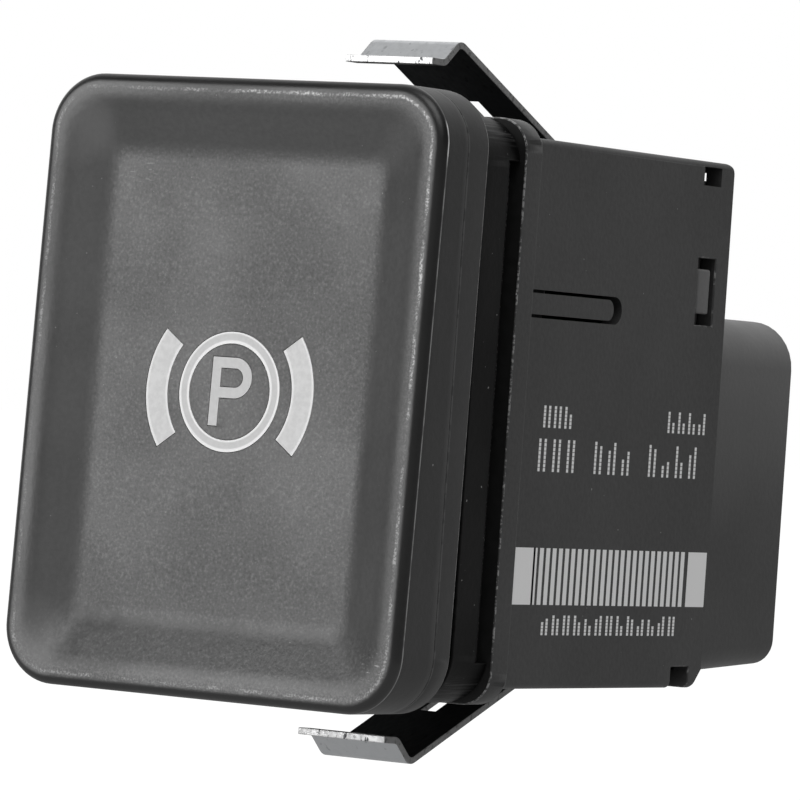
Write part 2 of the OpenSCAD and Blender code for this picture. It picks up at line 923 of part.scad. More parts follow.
// One side of a strip along a path: its straight parts joined by round bends
function strip_side(path, shift) =
    let (last = len(path) - 1, first_way = heading(path, 0), last_way = heading(path, last - 1))
        [
            path[0] + shift * [-first_way[1], first_way[0]],
            for (i = [1:last - 1])
                each bend_side(path[i], heading(path, i - 1), heading(path, i), shift),
            path[last] + shift * [-last_way[1], last_way[0]]
        ];

// Points of one side of a bend, from one direction to the next
function bend_side(point, from, to, shift) =
    let (turn = sign(cross(from, to)) * acos(from * to), way = atan2(from[1], from[0]),
        centre = point + (to - from) / norm(to - from) * clip_bend_r / cos(turn / 2))
            [
                for (j = [0:bend_steps])
                    let (a = way + turn * j / bend_steps)
                        centre + (shift - sign(turn) * clip_bend_r) * [-sin(a), cos(a)]
            ];

// Outline of a steel strip along a path
module strip(path) {
    near = strip_side(path, clip_t / 2);
    far = strip_side(path, -clip_t / 2);
    polygon(concat(near, [for (i = [len(far) - 1:-1:0]) far[i]]));
}

// Bent spring steel clip with a slot near its root
module spring_clip() {
    root = clip_path()[3];
    crest = clip_path()[2];
    leaf = atan2(root[1] - crest[1], root[0] - crest[0]);
    difference() {
        along_x(clip_w)
            strip(clip_path());
        translate([0, root[0], root[1]])
            rotate([leaf, 0, 0])
                translate([-clip_slot_w / 2, -clip_slot_root - clip_slot_len, -1])
                    cube([clip_slot_w, clip_slot_len, 2]);
    }
}

// Upper clip
module clip_upper() {
    color("#8f9194")
        spring_clip();
}

// Lower clip, the same piece turned over, with its own set
module clip_lower() {
    color("#8f9194")
        mirror([0, 0, 1])
            translate([0, clip_root_y, case_h / 2])
                rotate([lower_set, 0, 0])
                    translate([0, -clip_root_y, -case_h / 2])
                        spring_clip();
}

button_cap();
symbol_inlay();
button_carrier();
press_plate();
light_guide();
guide_frame();
housing();
rear_base();
circuit_board();
microswitch(-1);  // microswitch_left
microswitch(1);  // microswitch_right
switch_plunger(-1);  // plunger_left
switch_plunger(1);  // plunger_right
return_spring(1);  // return_spring_upper
return_spring(-1);  // return_spring_lower
led(led_step);  // backlight_led
led(-led_step);  // signal_led
chip_resistors();
terminals(-1);  // terminals_left
terminals(1);  // terminals_right
clip_upper();
clip_lower();
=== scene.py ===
"""Looks of the electric parking brake switch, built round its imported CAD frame.

Every object is in metres in the frame of the CAD part. Sizes are written in
millimetres and turned to metres with MM. X runs across the button, Y from the
button back to the connector, and Z up.
"""
import json
import logging
import math
from dataclasses import dataclass, field
from enum import Enum
from typing import Any, Callable, Iterable, Sequence

import bmesh
import bpy
import numpy as np
from mathutils import Matrix, Vector

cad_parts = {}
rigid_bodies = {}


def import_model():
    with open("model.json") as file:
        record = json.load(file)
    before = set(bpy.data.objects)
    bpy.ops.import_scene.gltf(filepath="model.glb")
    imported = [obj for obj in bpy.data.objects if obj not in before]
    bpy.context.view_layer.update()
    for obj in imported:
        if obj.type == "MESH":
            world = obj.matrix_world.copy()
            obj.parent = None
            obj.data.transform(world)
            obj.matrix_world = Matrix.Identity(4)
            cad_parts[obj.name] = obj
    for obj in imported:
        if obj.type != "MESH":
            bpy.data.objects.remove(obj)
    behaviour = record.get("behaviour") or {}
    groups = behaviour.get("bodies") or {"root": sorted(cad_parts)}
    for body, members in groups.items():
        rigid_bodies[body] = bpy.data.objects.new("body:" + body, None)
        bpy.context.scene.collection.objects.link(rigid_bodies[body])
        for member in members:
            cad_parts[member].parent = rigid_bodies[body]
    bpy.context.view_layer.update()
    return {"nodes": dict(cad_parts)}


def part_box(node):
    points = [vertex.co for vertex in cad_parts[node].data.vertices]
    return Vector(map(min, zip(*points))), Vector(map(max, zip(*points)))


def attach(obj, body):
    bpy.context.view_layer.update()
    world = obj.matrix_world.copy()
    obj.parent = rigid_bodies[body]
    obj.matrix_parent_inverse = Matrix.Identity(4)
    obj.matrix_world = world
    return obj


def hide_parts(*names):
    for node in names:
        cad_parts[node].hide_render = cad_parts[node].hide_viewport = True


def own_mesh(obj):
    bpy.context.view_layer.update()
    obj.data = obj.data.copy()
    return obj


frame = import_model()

MM = 0.001
LOG = logging.getLogger("brake_switch")


class Body(Enum):
    """The CAD bodies that pieces ride on."""

    HOUSING = "housing"
    BUTTON = "button"
    UPPER_CLIP = "upper_clip"
    LOWER_CLIP = "lower_clip"


class Ray(Enum):
    """Kinds of light path."""

    CAMERA = "Is Camera Ray"
    GLOSSY = "Is Glossy Ray"
    TRANSMISSION = "Is Transmission Ray"
    DIFFUSE = "Is Diffuse Ray"


# ---------------------------------------------------------------- small tools


def linear(code: str) -> tuple[float, float, float, float]:
    """Turns an sRGB hex colour to linear.

    Args:
        code: The colour as "#rrggbb".

    Returns:
        Red, green, blue and an alpha of 1.
    """
    parts = [int(code[i : i + 2], 16) / 255 for i in (1, 3, 5)]
    low = [c / 12.92 if c <= 0.04045 else ((c + 0.055) / 1.055) ** 2.4 for c in parts]
    return (low[0], low[1], low[2], 1.0)


def per(size_mm: float) -> float:
    """Gives the texture scale whose pattern repeats about every size_mm."""
    return 1 / (size_mm * MM)


def add_node(
    tree: bpy.types.NodeTree,
    kind: str,
    inputs: dict[Any, Any] | None = None,
    **settings: Any,
) -> bpy.types.Node:
    """Adds a node with its settings, values and links.

    Args:
        tree: The node tree that gets the node.
        kind: The node's type name.
        inputs: Values or output sockets, by the input's name or number.
        **settings: Properties of the node itself.

    Returns:
        The new node.
    """
    node = tree.nodes.new(kind)
    for name, value in settings.items():
        setattr(node, name, value)
    for key, value in (inputs or {}).items():
        if isinstance(value, bpy.types.NodeSocket):
            tree.links.new(value, node.inputs[key])
        else:
            node.inputs[key].default_value = value
    return node


def direction(azimuth: float, elevation: float) -> Vector:
    """Points from the part towards a place round it.

    Args:
        azimuth: Degrees from the front, growing towards the part's right side.
        elevation: Degrees above the horizon.

    Returns:
        A unit vector.
    """
    a, e = math.radians(azimuth), math.radians(elevation)
    return Vector((math.sin(a) * math.cos(e), -math.cos(a) * math.cos(e), math.sin(e)))


def new_object(name: str, mesh: bpy.types.Mesh) -> bpy.types.Object:
    """Makes an object of a mesh and links it to the scene."""
    made = bpy.data.objects.new(name, mesh)
    bpy.context.scene.collection.objects.link(made)
    return made


def baked(obj: bpy.types.Object) -> None:
    """Applies an object's modifiers to its mesh and removes them."""
    graph = bpy.context.evaluated_depsgraph_get()
    mesh = bpy.data.meshes.new_from_object(obj.evaluated_get(graph))
    obj.modifiers.clear()
    obj.data = mesh
    mesh.name = obj.name


def smoothed(obj: bpy.types.Object, angle: float = 32) -> None:
    """Shades a piece smooth with flat faces kept flat.

    Args:
        obj: The piece.
        angle: Edges that turn more than this many degrees stay sharp.
    """
    mesh = obj.data
    mesh.polygons.foreach_set("use_smooth", [True] * len(mesh.polygons))
    mesh.set_sharp_from_angle(angle=math.radians(angle))
    mod = obj.modifiers.new("flat faces", "WEIGHTED_NORMAL")
    mod.keep_sharp = True
    mod.weight = 100
    baked(obj)


def cut(obj: bpy.types.Object, tool: bpy.types.Object, operation: str) -> None:
    """Cuts or joins a closed tool with a closed piece, and deletes the tool.

    Args:
        obj: The piece that is changed.
        tool: The other solid.
        operation: "DIFFERENCE" or "UNION".
    """
    mod = obj.modifiers.new("cut", "BOOLEAN")
    mod.operation = operation
    mod.solver = "EXACT"
    mod.object = tool
    bpy.context.view_layer.update()
    baked(obj)
    bpy.data.objects.remove(tool)


def merged(node: str) -> bmesh.types.BMesh:
    """Copies a CAD node's triangles with shared corners and whole flat faces.

    Args:
        node: The CAD node's name.

    Returns:
        A new mesh in edit form. The node itself isn't touched.
    """
    bm = bmesh.new()
    bm.from_mesh(frame["nodes"][node].data)
    bmesh.ops.remove_doubles(bm, verts=bm.verts, dist=0.002 * MM)
    bmesh.ops.dissolve_limit(
        bm, angle_limit=math.radians(0.4), verts=bm.verts, edges=bm.edges
    )
    bm.normal_update()
    bm.edges.index_update()
    return bm


def turns_out(edge: bmesh.types.BMEdge, least: float = 25) -> bool:
    """Says if an edge is convex and turns by at least so many degrees."""
    if len(edge.link_faces) != 2 or not edge.is_convex:
        return False
    return math.degrees(edge.calc_face_angle(0)) > least


def runs(edges: Sequence[bmesh.types.BMEdge]) -> list[list[bmesh.types.BMEdge]]:
    """Sorts edges into runs that hang together.

    Args:
        edges: The edges of one mesh.

    Returns:
        The runs. Rounded one by one, a run of tiny edges doesn't thin the others.
    """
    left = {edge.index: edge for edge in edges}
    found: list[list[bmesh.types.BMEdge]] = []
    while left:
        todo = [left.pop(min(left))]
        run: list[bmesh.types.BMEdge] = []
        while todo:
            edge = todo.pop()
            run.append(edge)
            for near in (e for vert in edge.verts for e in vert.link_edges):
                if near.index in left:
                    todo.append(left.pop(near.index))
        found.append(run)
    return found


def shown(obj: bpy.types.Object, body: Body, slot: str, *nodes: str) -> None:
    """Puts a finished piece on its body in place of its CAD nodes.

    Args:
        obj: The piece.
        body: The CAD body that it rides on.
        slot: The record's material slot; not used.
        *nodes: The CAD nodes that it stands for.
    """
    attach(obj, body.value)
    if nodes:
        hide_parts(*nodes)
    triangles = sum(len(p.vertices) - 2 for p in obj.data.polygons)
    LOG.info("%s: %d triangles on %s", obj.name, triangles, body.value)


def dress(node: str, material: bpy.types.Material) -> None:
    """Gives a CAD node that is shown as it is its material."""
    slots = frame["nodes"][node].data.materials
    slots.clear()
    slots.append(material)
    LOG.info("%s: CAD node in %s", node, material.name)


# ------------------------------------------------------------------- finishes


@dataclass(frozen=True)
class Finish:
    """What every finish has: a name, a colour and a roughness."""

    name: str
    colour: str
    roughness: float

    def start(self) -> tuple[bpy.types.Material, bpy.types.NodeTree, Any]:
        """Starts the material.

        Returns:
            The material, its empty tree and the Object coordinates' socket.
        """
        material = bpy.data.materials.new(self.name)
        material.use_nodes = True
        material.diffuse_color = linear(self.colour)
        tree = material.node_tree
        tree.nodes.clear()
        place = add_node(tree, "ShaderNodeTexCoord").outputs["Object"]
        return material, tree, place

    def noise(self, tree: Any, place: Any, size_mm: float, detail: float = 2) -> Any:
        """Gives a noise pattern's socket.

        Args:
            tree: The material's tree.
            place: The coordinates' socket.
            size_mm: Size of the pattern's grains.
            detail: Finer steps in the pattern.

        Returns:
            The pattern, about 0.2 to 0.8 with a mean of 0.5.
        """
        made = add_node(
            tree,
            "ShaderNodeTexNoise",
            {"Vector": place, "Scale": per(size_mm), "Detail": detail},
        )
        return made.outputs["Fac"]

    def ramp(self, tree: Any, value: Any, lo: float, hi: float, a: float = 0, b: float = 1) -> Any:
        """Maps lo..hi of a value smoothly to a..b, held beyond the ends."""
        made = add_node(
            tree,
            "ShaderNodeMapRange",
            {"Value": value, "From Min": lo, "From Max": hi, "To Min": a, "To Max": b},
            interpolation_type="SMOOTHSTEP",
        )
        return made.outputs["Result"]

    def maths(self, tree: Any, how: str, a: Any, b: Any = 0.0) -> Any:
        """Gives the result's socket of a sum of two values."""
        made = add_node(tree, "ShaderNodeMath", {0: a, 1: b}, operation=how)
        return made.outputs[0]

    def blend(self, tree: Any, share: Any, a: Any, b: Any) -> Any:
        """Mixes two colours, given as sockets or hex codes."""
        ends = [linear(c) if isinstance(c, str) else c for c in (a, b)]
        made = add_node(
            tree, "ShaderNodeMix", {0: share, 6: ends[0], 7: ends[1]}, data_type="RGBA"
        )
        return made.outputs[2]

    def close(self, tree: Any, inputs: dict[str, Any]) -> None:
        """Ends the material with its shader and output."""
        shader = add_node(tree, "ShaderNodeBsdfPrincipled", inputs)
        add_node(tree, "ShaderNodeOutputMaterial", {"Surface": shader.outputs[0]})


@dataclass(frozen=True)
class MouldedPlastic(Finish):
    """Injection-moulded plastic from a spark-eroded tool.

    The tool leaves a fine matt grain. Handling leaves faint smudges, and grit
    and tiny chips show as pale specks; painted light can make it paler upwards.
    """

    grain_mm: float = 0.4
    grain_lift_mm: float = 0.012
    mottle: float = 0.14
    smudge: float = 0.1
    speck: str = "#7a7a7a"
    speck_level: float = 0.79
    speck_mm: float = 0.34
    streak: float = 0.0
    streak_above: float = 0.0
    top_light: float = 0.0
    top_light_from: float = 0.0
    top_light_to: float = 1.0
    mould_line: float = 0.0
    specular: float = 0.5

    def surface(self, tree: Any, place: Any, base: Any) -> tuple[Any, Any, Any]:
        """Adds grain, smudges and specks to a base colour.

        Args:
            tree: The material's tree.
            place: The coordinates' socket.
            base: The base colour's socket or hex code.

        Returns:
            Sockets of the colour, the roughness and the bumped normal.
        """
        grain = self.noise(tree, place, self.grain_mm, 3)
        cloud = self.noise(tree, place, 8, 3)
        light = self.ramp(tree, grain, 0.25, 0.75, 1 - self.mottle, 1 + self.mottle)
        wide = self.ramp(tree, cloud, 0.3, 0.7, 1 - self.smudge, 1 + self.smudge)
        colour = linear(base) if isinstance(base, str) else base
        toned = add_node(
            tree,
            "ShaderNodeHueSaturation",
            {"Value": self.maths(tree, "MULTIPLY", light, wide), "Color": colour},
        ).outputs[0]
        specks = self.ramp(
            tree, self.noise(tree, place, self.speck_mm, 1), self.speck_level, self.speck_level + 0.03
        )
        toned = self.blend(tree, specks, toned, self.speck)
        if self.streak:
            stretched = add_node(
                tree, "ShaderNodeMapping", {"Vector": place, "Scale": (1, 0.03, 1)}
            ).outputs[0]
            rubs = self.ramp(tree, self.noise(tree, stretched, 0.11, 3), 0.46, 0.7, 0, self.streak)
            height = self.maths(
                tree, "ABSOLUTE", add_node(tree, "ShaderNodeSeparateXYZ", {0: place}).outputs[2]
            )
            where = self.ramp(
                tree, height, self.streak_above * MM, (self.streak_above + 1) * MM
            )
            toned = self.blend(tree, self.maths(tree, "MULTIPLY", rubs, where), toned, self.speck)
        if self.top_light:
            # Painted light: the colour grows paler towards the top
            height = add_node(tree, "ShaderNodeSeparateXYZ", {0: place}).outputs[2]
            share = self.ramp(tree, height, self.top_light_from * MM, self.top_light_to * MM, 0, self.top_light)
            toned = self.blend(tree, share, toned, "#8a8a8a")
        if self.mould_line:
            # A faint pale line where two slides of the tool met
            along = add_node(tree, "ShaderNodeSeparateXYZ", {0: place}).outputs[1]
            off = self.maths(
                tree, "ABSOLUTE", self.maths(tree, "SUBTRACT", along, self.mould_line * MM)
            )
            share = self.ramp(tree, off, 0.1 * MM, 0.03 * MM, 0, 0.3)
            toned = self.blend(tree, share, toned, "#6c6c6c")
        rough = self.ramp(tree, cloud, 0.3, 0.7, self.roughness - 0.05, self.roughness + 0.06)
        bump = add_node(
            tree,
            "ShaderNodeBump",
            {"Height": grain, "Distance": self.grain_lift_mm * MM, "Strength": 1.0},
        )
        return toned, rough, bump.outputs[0]

    def sockets(self, colour: Any, rough: Any, normal: Any) -> dict[str, Any]:
        """Gives the shader's inputs."""
        return {
            "Base Color": colour,
            "Roughness": rough,
            "Normal": normal,
            "Specular IOR Level": self.specular,
        }

    def build(self) -> bpy.types.Material:
        """Builds the material."""
        material, tree, place = self.start()
        colour, rough, normal = self.surface(tree, place, self.colour)
        self.close(tree, self.sockets(colour, rough, normal))
        return material


@dataclass(frozen=True)
class RubbedEdge(MouldedPlastic):
    """The same plastic on a moulded edge, rubbed pale in broken flecks."""

    rub: str = "#8a8a8a"
    rub_level: float = 0.52
    rub_mm: float = 0.5
    rub_least: float = 0.0

    def build(self) -> bpy.types.Material:
        """Builds the material."""
        material, tree, place = self.start()
        colour, rough, normal = self.surface(tree, place, self.colour)
        fine = self.noise(tree, place, self.rub_mm, 4)
        runs = self.noise(tree, place, 4.5, 2)
        both = self.maths(tree, "ADD", fine, self.maths(tree, "MULTIPLY", runs, 0.6))
        share = self.ramp(
            tree, both, self.rub_level + 0.27, self.rub_level + 0.42, self.rub_least, 1
        )
        colour = self.blend(tree, share, colour, self.rub)
        self.close(tree, self.sockets(colour, rough, normal))
        return material


@dataclass(frozen=True)
class CapPlastic(MouldedPlastic):
    """Soft-touch matt ABS of the button cap.

    The finish is worn off along the rim, with a painted highlight mixed in;
    the rounded edge is painted near black as a painted reflection, and a thin
    painted highlight runs where the edge meets the side. The mesh attributes
    "inset" and "depth" give the distance in from the side and back from the
    front, in millimetres.
    """

    # Painted reflection: near black for the rounded edge
    edge: str = "#090909"
    # Rim wear, mixed with a painted highlight
    rim: str = "#cecece"
    # Painted highlight: the thin line where the edge meets the side
    line: str = "#dadada"

    def near(self, tree: Any, axes: Any, x: float, z: float, wide: float, high: float) -> Any:
        """Gives a soft patch on the front, 1 in its middle.

        Args:
            tree: The material's tree.
            axes: The sockets of X, Y and Z.
            x: The middle across, in millimetres.
            z: The middle upwards.
            wide: Half the patch's width.
            high: Half the patch's height.

        Returns:
            The patch's socket.
        """
        ends: list[Any] = []
        for axis, middle, half in ((axes[0], x, wide), (axes[2], z, high)):
            away = self.maths(tree, "DIVIDE", self.maths(tree, "SUBTRACT", axis, middle * MM), half * MM)
            ends.append(self.maths(tree, "MULTIPLY", away, away))
        return self.ramp(tree, self.maths(tree, "ADD", ends[0], ends[1]), 1.0, 0.2)

    def rim_wear_and_highlight(self, tree: Any, place: Any, axes: Any, inset: Any) -> tuple[Any, Any]:
        """Gives the share of bare plastic on the rim, mixed with a painted highlight, and of fine
        scratches.

        Args:
            tree: The material's tree.
            place: The coordinates' socket.
            axes: The sockets of X, Y and Z.
            inset: The distance in from the side.

        Returns:
            Sockets of the worn rim with its painted highlight, and of the scratches.
        """
        def times(*parts: Any) -> Any:
            """Multiplies several sockets."""
            total = parts[0]
            for part in parts[1:]:
                total = self.maths(tree, "MULTIPLY", total, part)
            return total

        wobble = self.ramp(tree, self.noise(tree, place, 1.3, 2), 0.3, 0.7, -0.035, 0.035)
        at = self.maths(tree, "ADD", inset, wobble)
        low = self.ramp(tree, axes[2], -11 * MM, -16 * MM)
        # A thin bare line where the front starts to round off, and a soft halo inside it, both partly
        # painted highlight
        core = self.ramp(
            tree, self.maths(tree, "ABSOLUTE", self.maths(tree, "SUBTRACT", at, 0.77)), 0.17, 0.03
        )
        halo_highlight = times(self.ramp(tree, at, 0.5, 0.75), self.ramp(tree, at, 1.6, 0.8))
        fine = self.ramp(tree, self.noise(tree, place, 0.13, 3), 0.44, 0.62)
        runs = self.ramp(tree, self.noise(tree, place, 2.0, 3), 0.36, 0.62, 0.14, 1)
        # Painted highlight: the rim is brighter towards the right and the top, where light falls, and half
        # as bright along the bottom
        right = self.ramp(tree, axes[0], -9 * MM, 9 * MM, 0.42, 1)
        high = self.ramp(tree, axes[2], -12 * MM, 10 * MM, 0.5, 1)
        level = self.maths(tree, "MAXIMUM", times(right, high), self.maths(tree, "MULTIPLY", low, 0.5))
        line = times(core, runs, level, self.ramp(tree, fine, 0, 1, 0.25, 1))
        soft = times(halo_highlight, self.ramp(tree, fine, 0, 1, 0.04, 0.16), level)
        soft = times(soft, self.ramp(tree, low, 0, 1, 0.6, 1.5))
        rubbed = self.maths(tree, "MAXIMUM", line, soft)

        # Fine scratches, drawn out along the rim's lower right corner
        slid = add_node(
            tree,
            "ShaderNodeMapping",
            {"Vector": place, "Rotation": (0, math.radians(-52), 0), "Scale": (0.2, 1, 1)},
        ).outputs[0]
        nicks = self.ramp(tree, self.noise(tree, slid, 0.12, 2), 0.6, 0.7)
        corner = times(self.near(tree, axes, 12.3, -14.9, 1.3, 1.2), 0.4)
        floor_top = times(self.near(tree, axes, -7.6, 12.7, 1.3, 1.0), 0.2)
        return rubbed, times(nicks, self.maths(tree, "MAXIMUM", corner, floor_top))

    def build(self) -> bpy.types.Material:
        """Builds the material."""
        material, tree, place = self.start()
        inset = add_node(tree, "ShaderNodeAttribute", attribute_name="inset").outputs["Fac"]
        depth = add_node(tree, "ShaderNodeAttribute", attribute_name="depth").outputs["Fac"]
        axes = add_node(tree, "ShaderNodeSeparateXYZ", {0: place}).outputs
        colour, rough, normal = self.surface(tree, place, self.colour)

        # The floor keeps the tool's coarse grain; fingers have smoothed the slopes round it
        flat = self.maths(
            tree, "MULTIPLY", self.ramp(tree, depth, 0.9, 1.08), self.ramp(tree, inset, 3.4, 4.8)
        )
        lowest = self.ramp(tree, axes[2], -12 * MM, -15 * MM, 0, 0.7)
        flat = self.maths(tree, "MAXIMUM", flat, lowest)
        fine = self.noise(tree, place, 0.17, 3)
        for share, lo, hi, tone in ((0.62, 0.49, 0.31, "#161616"), (0.26, 0.52, 0.7, "#8c8c8c")):
            part = self.ramp(tree, fine, lo, hi, 0, share)
            colour = self.blend(tree, self.maths(tree, "MULTIPLY", part, flat), colour, tone)
        pits = self.ramp(tree, self.noise(tree, place, 0.42, 2), 0.29, 0.24, 0, 0.7)
        colour = self.blend(tree, self.maths(tree, "MULTIPLY", pits, flat), colour, "#161616")
        # Small dark nicks in two groups on the floor
        nicks = self.ramp(tree, self.noise(tree, place, 0.3, 3), 0.53, 0.6, 0, 0.6)
        for x, z, wide, high in ((6.8, 11.3, 1.6, 0.9), (-5.2, 6.1, 0.5, 0.8)):
            part = self.maths(tree, "MULTIPLY", nicks, self.near(tree, axes, x, z, wide, high))
            colour = self.blend(tree, part, colour, "#121212")
        # Painted light: paler patches at the floor's upper and lower left corners
        for x, z in ((-11.7, 15.8), (-12.1, -15.4)):
            pale = self.maths(tree, "MULTIPLY", self.near(tree, axes, x, z, 2.9, 3.4), 0.45)
            colour = self.blend(tree, pale, colour, "#626262")
        # Grime left where the floor's lower left corner meets its slopes
        spots = self.maths(
            tree,
            "MAXIMUM",
            self.near(tree, axes, -9.3, -14.8, 1.5, 2.3),
            self.near(tree, axes, -7.6, -13.6, 2.3, 1.1),
        )
        grime = self.maths(
            tree,
            "MULTIPLY",
            spots,
            self.ramp(tree, self.noise(tree, place, 0.5, 4), 0.36, 0.6, 0.15, 0.6),
        )
        colour = self.blend(tree, grime, colour, "#202020")
        # Painted shade: a dark band between the bare line and the slope, left out at the bottom
        dim = self.maths(
            tree, "MULTIPLY", self.ramp(tree, inset, 0.7, 0.95), self.ramp(tree, inset, 2.5, 1.3)
        )
        dim = self.maths(tree, "MULTIPLY", dim, self.ramp(tree, axes[2], -15.5 * MM, -11 * MM, 0, 0.3))
        colour = self.blend(tree, dim, colour, "#181818")
        # Painted light: the left slope is painted a little paler, and the upper one less
        pale = self.maths(
            tree,
            "MAXIMUM",
            self.ramp(tree, axes[0], -8.6 * MM, -10.2 * MM, 0, 0.24),
            self.ramp(tree, axes[2], 12.4 * MM, 14 * MM, 0, 0.11),
        )
        pale = self.maths(tree, "MULTIPLY", pale, self.ramp(tree, inset, 1.2, 2.2))
        colour = self.blend(tree, pale, colour, "#6a6a6a")
        # The worn rim, partly painted highlight, and the scratches
        worn, scratches = self.rim_wear_and_highlight(tree, place, axes, inset)
        colour = self.blend(tree, worn, colour, self.rim)
        colour = self.blend(tree, scratches, colour, self.rim)

        # Painted reflection: the rounded edge is painted near black, standing in for the dark it mirrors
        edge_dark_reflection = self.ramp(tree, inset, 0.6, 0.4)
        colour = self.blend(tree, edge_dark_reflection, colour, self.edge)
        # Painted highlight: a thin bright line where the edge meets the side, strongest at the upper right
        # corner
        line = self.maths(tree, "ABSOLUTE", self.maths(tree, "SUBTRACT", depth, 0.57))
        bare = self.maths(
            tree,
            "MULTIPLY",
            self.ramp(
                tree,
                self.near(tree, axes, 13.8, 15.0, 3, 1.5),
                0,
                1,
                self.ramp(tree, axes[2], 16.6 * MM, 15.8 * MM, 0.1, 0.34),
                1,
            ),
            self.ramp(tree, self.noise(tree, place, 0.9, 4), 0.34, 0.56, 0.45, 1),
        )
        line = self.maths(tree, "MULTIPLY", self.ramp(tree, line, 0.1, 0.02), bare)
        line = self.maths(tree, "MULTIPLY", line, self.ramp(tree, inset, 0.3, 0.1))
        colour = self.blend(tree, line, colour, self.line)
        self.close(tree, self.sockets(colour, rough, normal))
        return material


@dataclass(frozen=True)
class InlayPlastic(Finish):
    """Translucent white polycarbonate of the lit symbol, with a fine grain."""

    middle: float = 0.15

    def build(self) -> bpy.types.Material:
        """Builds the material."""
        material, tree, place = self.start()
        grain = self.noise(tree, place, 0.3, 3)
        colour = self.blend(tree, self.ramp(tree, grain, 0.3, 0.7), "#d2d2d2", self.colour)
        # The ring and the letter in the middle are lit less evenly than the arcs
        away = add_node(
            tree,
            "ShaderNodeVectorMath",
            {0: place, 1: (1, 0, 1), 2: (0, 0, -self.middle * MM)},
            operation="MULTIPLY_ADD",
        ).outputs[0]
        away = add_node(tree, "ShaderNodeVectorMath", {0: away}, operation="LENGTH").outputs["Value"]
        inner = self.ramp(tree, away, 3.9 * MM, 3.5 * MM, 0, 0.45)
        colour = self.blend(tree, inner, colour, "#c4c4c4")
        # Light gathers along the borders of the ring and the arcs
        for radius, half, share in ((3.16, 0.34, 0.9), (5.1, 0.75, 0.6)):
            off = self.maths(tree, "ABSOLUTE", self.maths(tree, "SUBTRACT", away, radius * MM))
            border = self.ramp(tree, off, (half - 0.2) * MM, (half - 0.08) * MM, 0, share)
            within = self.ramp(tree, off, (half + 0.2) * MM, (half + 0.1) * MM)
            border = self.maths(tree, "MULTIPLY", border, within)
            colour = self.blend(tree, border, colour, "#ffffff")
        self.close(
            tree,
            {
                "Base Color": colour,
                "Roughness": self.roughness,
                "Subsurface Weight": 0.15,
                "Subsurface Radius": (0.0005, 0.0005, 0.0005),
            },
        )
        return material


@dataclass(frozen=True)
class PlatedSteel(Finish):
    """Zinc-plated strip steel: a dull grey sheen with a rolled grain.

    On the blanked edges the plating is rough and bright, with dark flecks.
    """

    metallic: float = 0.9
    fleck: str = "#8d8f92"
    fleck_level: float = 0.66
    fleck_mm: float = 0.38
    draw: tuple[float, float, float] = (1, 0.1, 1)

    def build(self) -> bpy.types.Material:
        """Builds the material."""
        material, tree, place = self.start()
        drawn = add_node(
            tree,
            "ShaderNodeMapping",
            {"Vector": place, "Scale": self.draw},
        ).outputs[0]
        lines = self.noise(tree, drawn, 0.3, 4)
        spots = self.noise(tree, drawn, self.fleck_mm, 3)
        colour = self.blend(
            tree, self.ramp(tree, spots, self.fleck_level - 0.1, self.fleck_level), self.colour, self.fleck
        )
        bump = add_node(
            tree,
            "ShaderNodeBump",
            {"Height": lines, "Distance": 0.004 * MM, "Strength": 1.0},
        )
        rough = self.ramp(tree, lines, 0.3, 0.7, self.roughness - 0.06, self.roughness + 0.08)
        self.close(
            tree,
            {
                "Base Color": colour,
                "Metallic": self.metallic,
                "Roughness": rough,
                "Normal": bump.outputs[0],
            },
        )
        return material


@dataclass(frozen=True)
class PlainFinish(Finish):
    """A small inner piece: its base colour with a fine grain of its own."""

    metallic: float = 0.0
    second: str = "#000000"
    grain_mm: float = 0.6
    clear: float = 0.0

    def build(self) -> bpy.types.Material:
        """Builds the material."""
        material, tree, place = self.start()
        grain = self.noise(tree, place, self.grain_mm, 3)
        colour = self.blend(tree, self.ramp(tree, grain, 0.35, 0.8, 0, 0.5), self.colour, self.second)
        rough = self.ramp(tree, grain, 0.3, 0.7, self.roughness - 0.04, self.roughness + 0.06)
        self.close(
            tree,
            {
                "Base Color": colour,
                "Metallic": self.metallic,
                "Roughness": rough,
                "Transmission Weight": self.clear,
            },
        )
        return material


@dataclass(frozen=True)
class LaserPrint(Finish):
    """Pale laser marking on black plastic, a little rough at its borders."""

    def build(self) -> bpy.types.Material:
        """Builds the material."""
        material, tree, place = self.start()
        fade = self.ramp(tree, self.noise(tree, place, 0.5, 4), 0.42, 0.62)
        colour = self.blend(tree, fade, "#ececec", self.colour)
        self.close(
            tree,
            {"Base Color": colour, "Roughness": self.roughness, "Specular IOR Level": 1.0},
        )
        return material


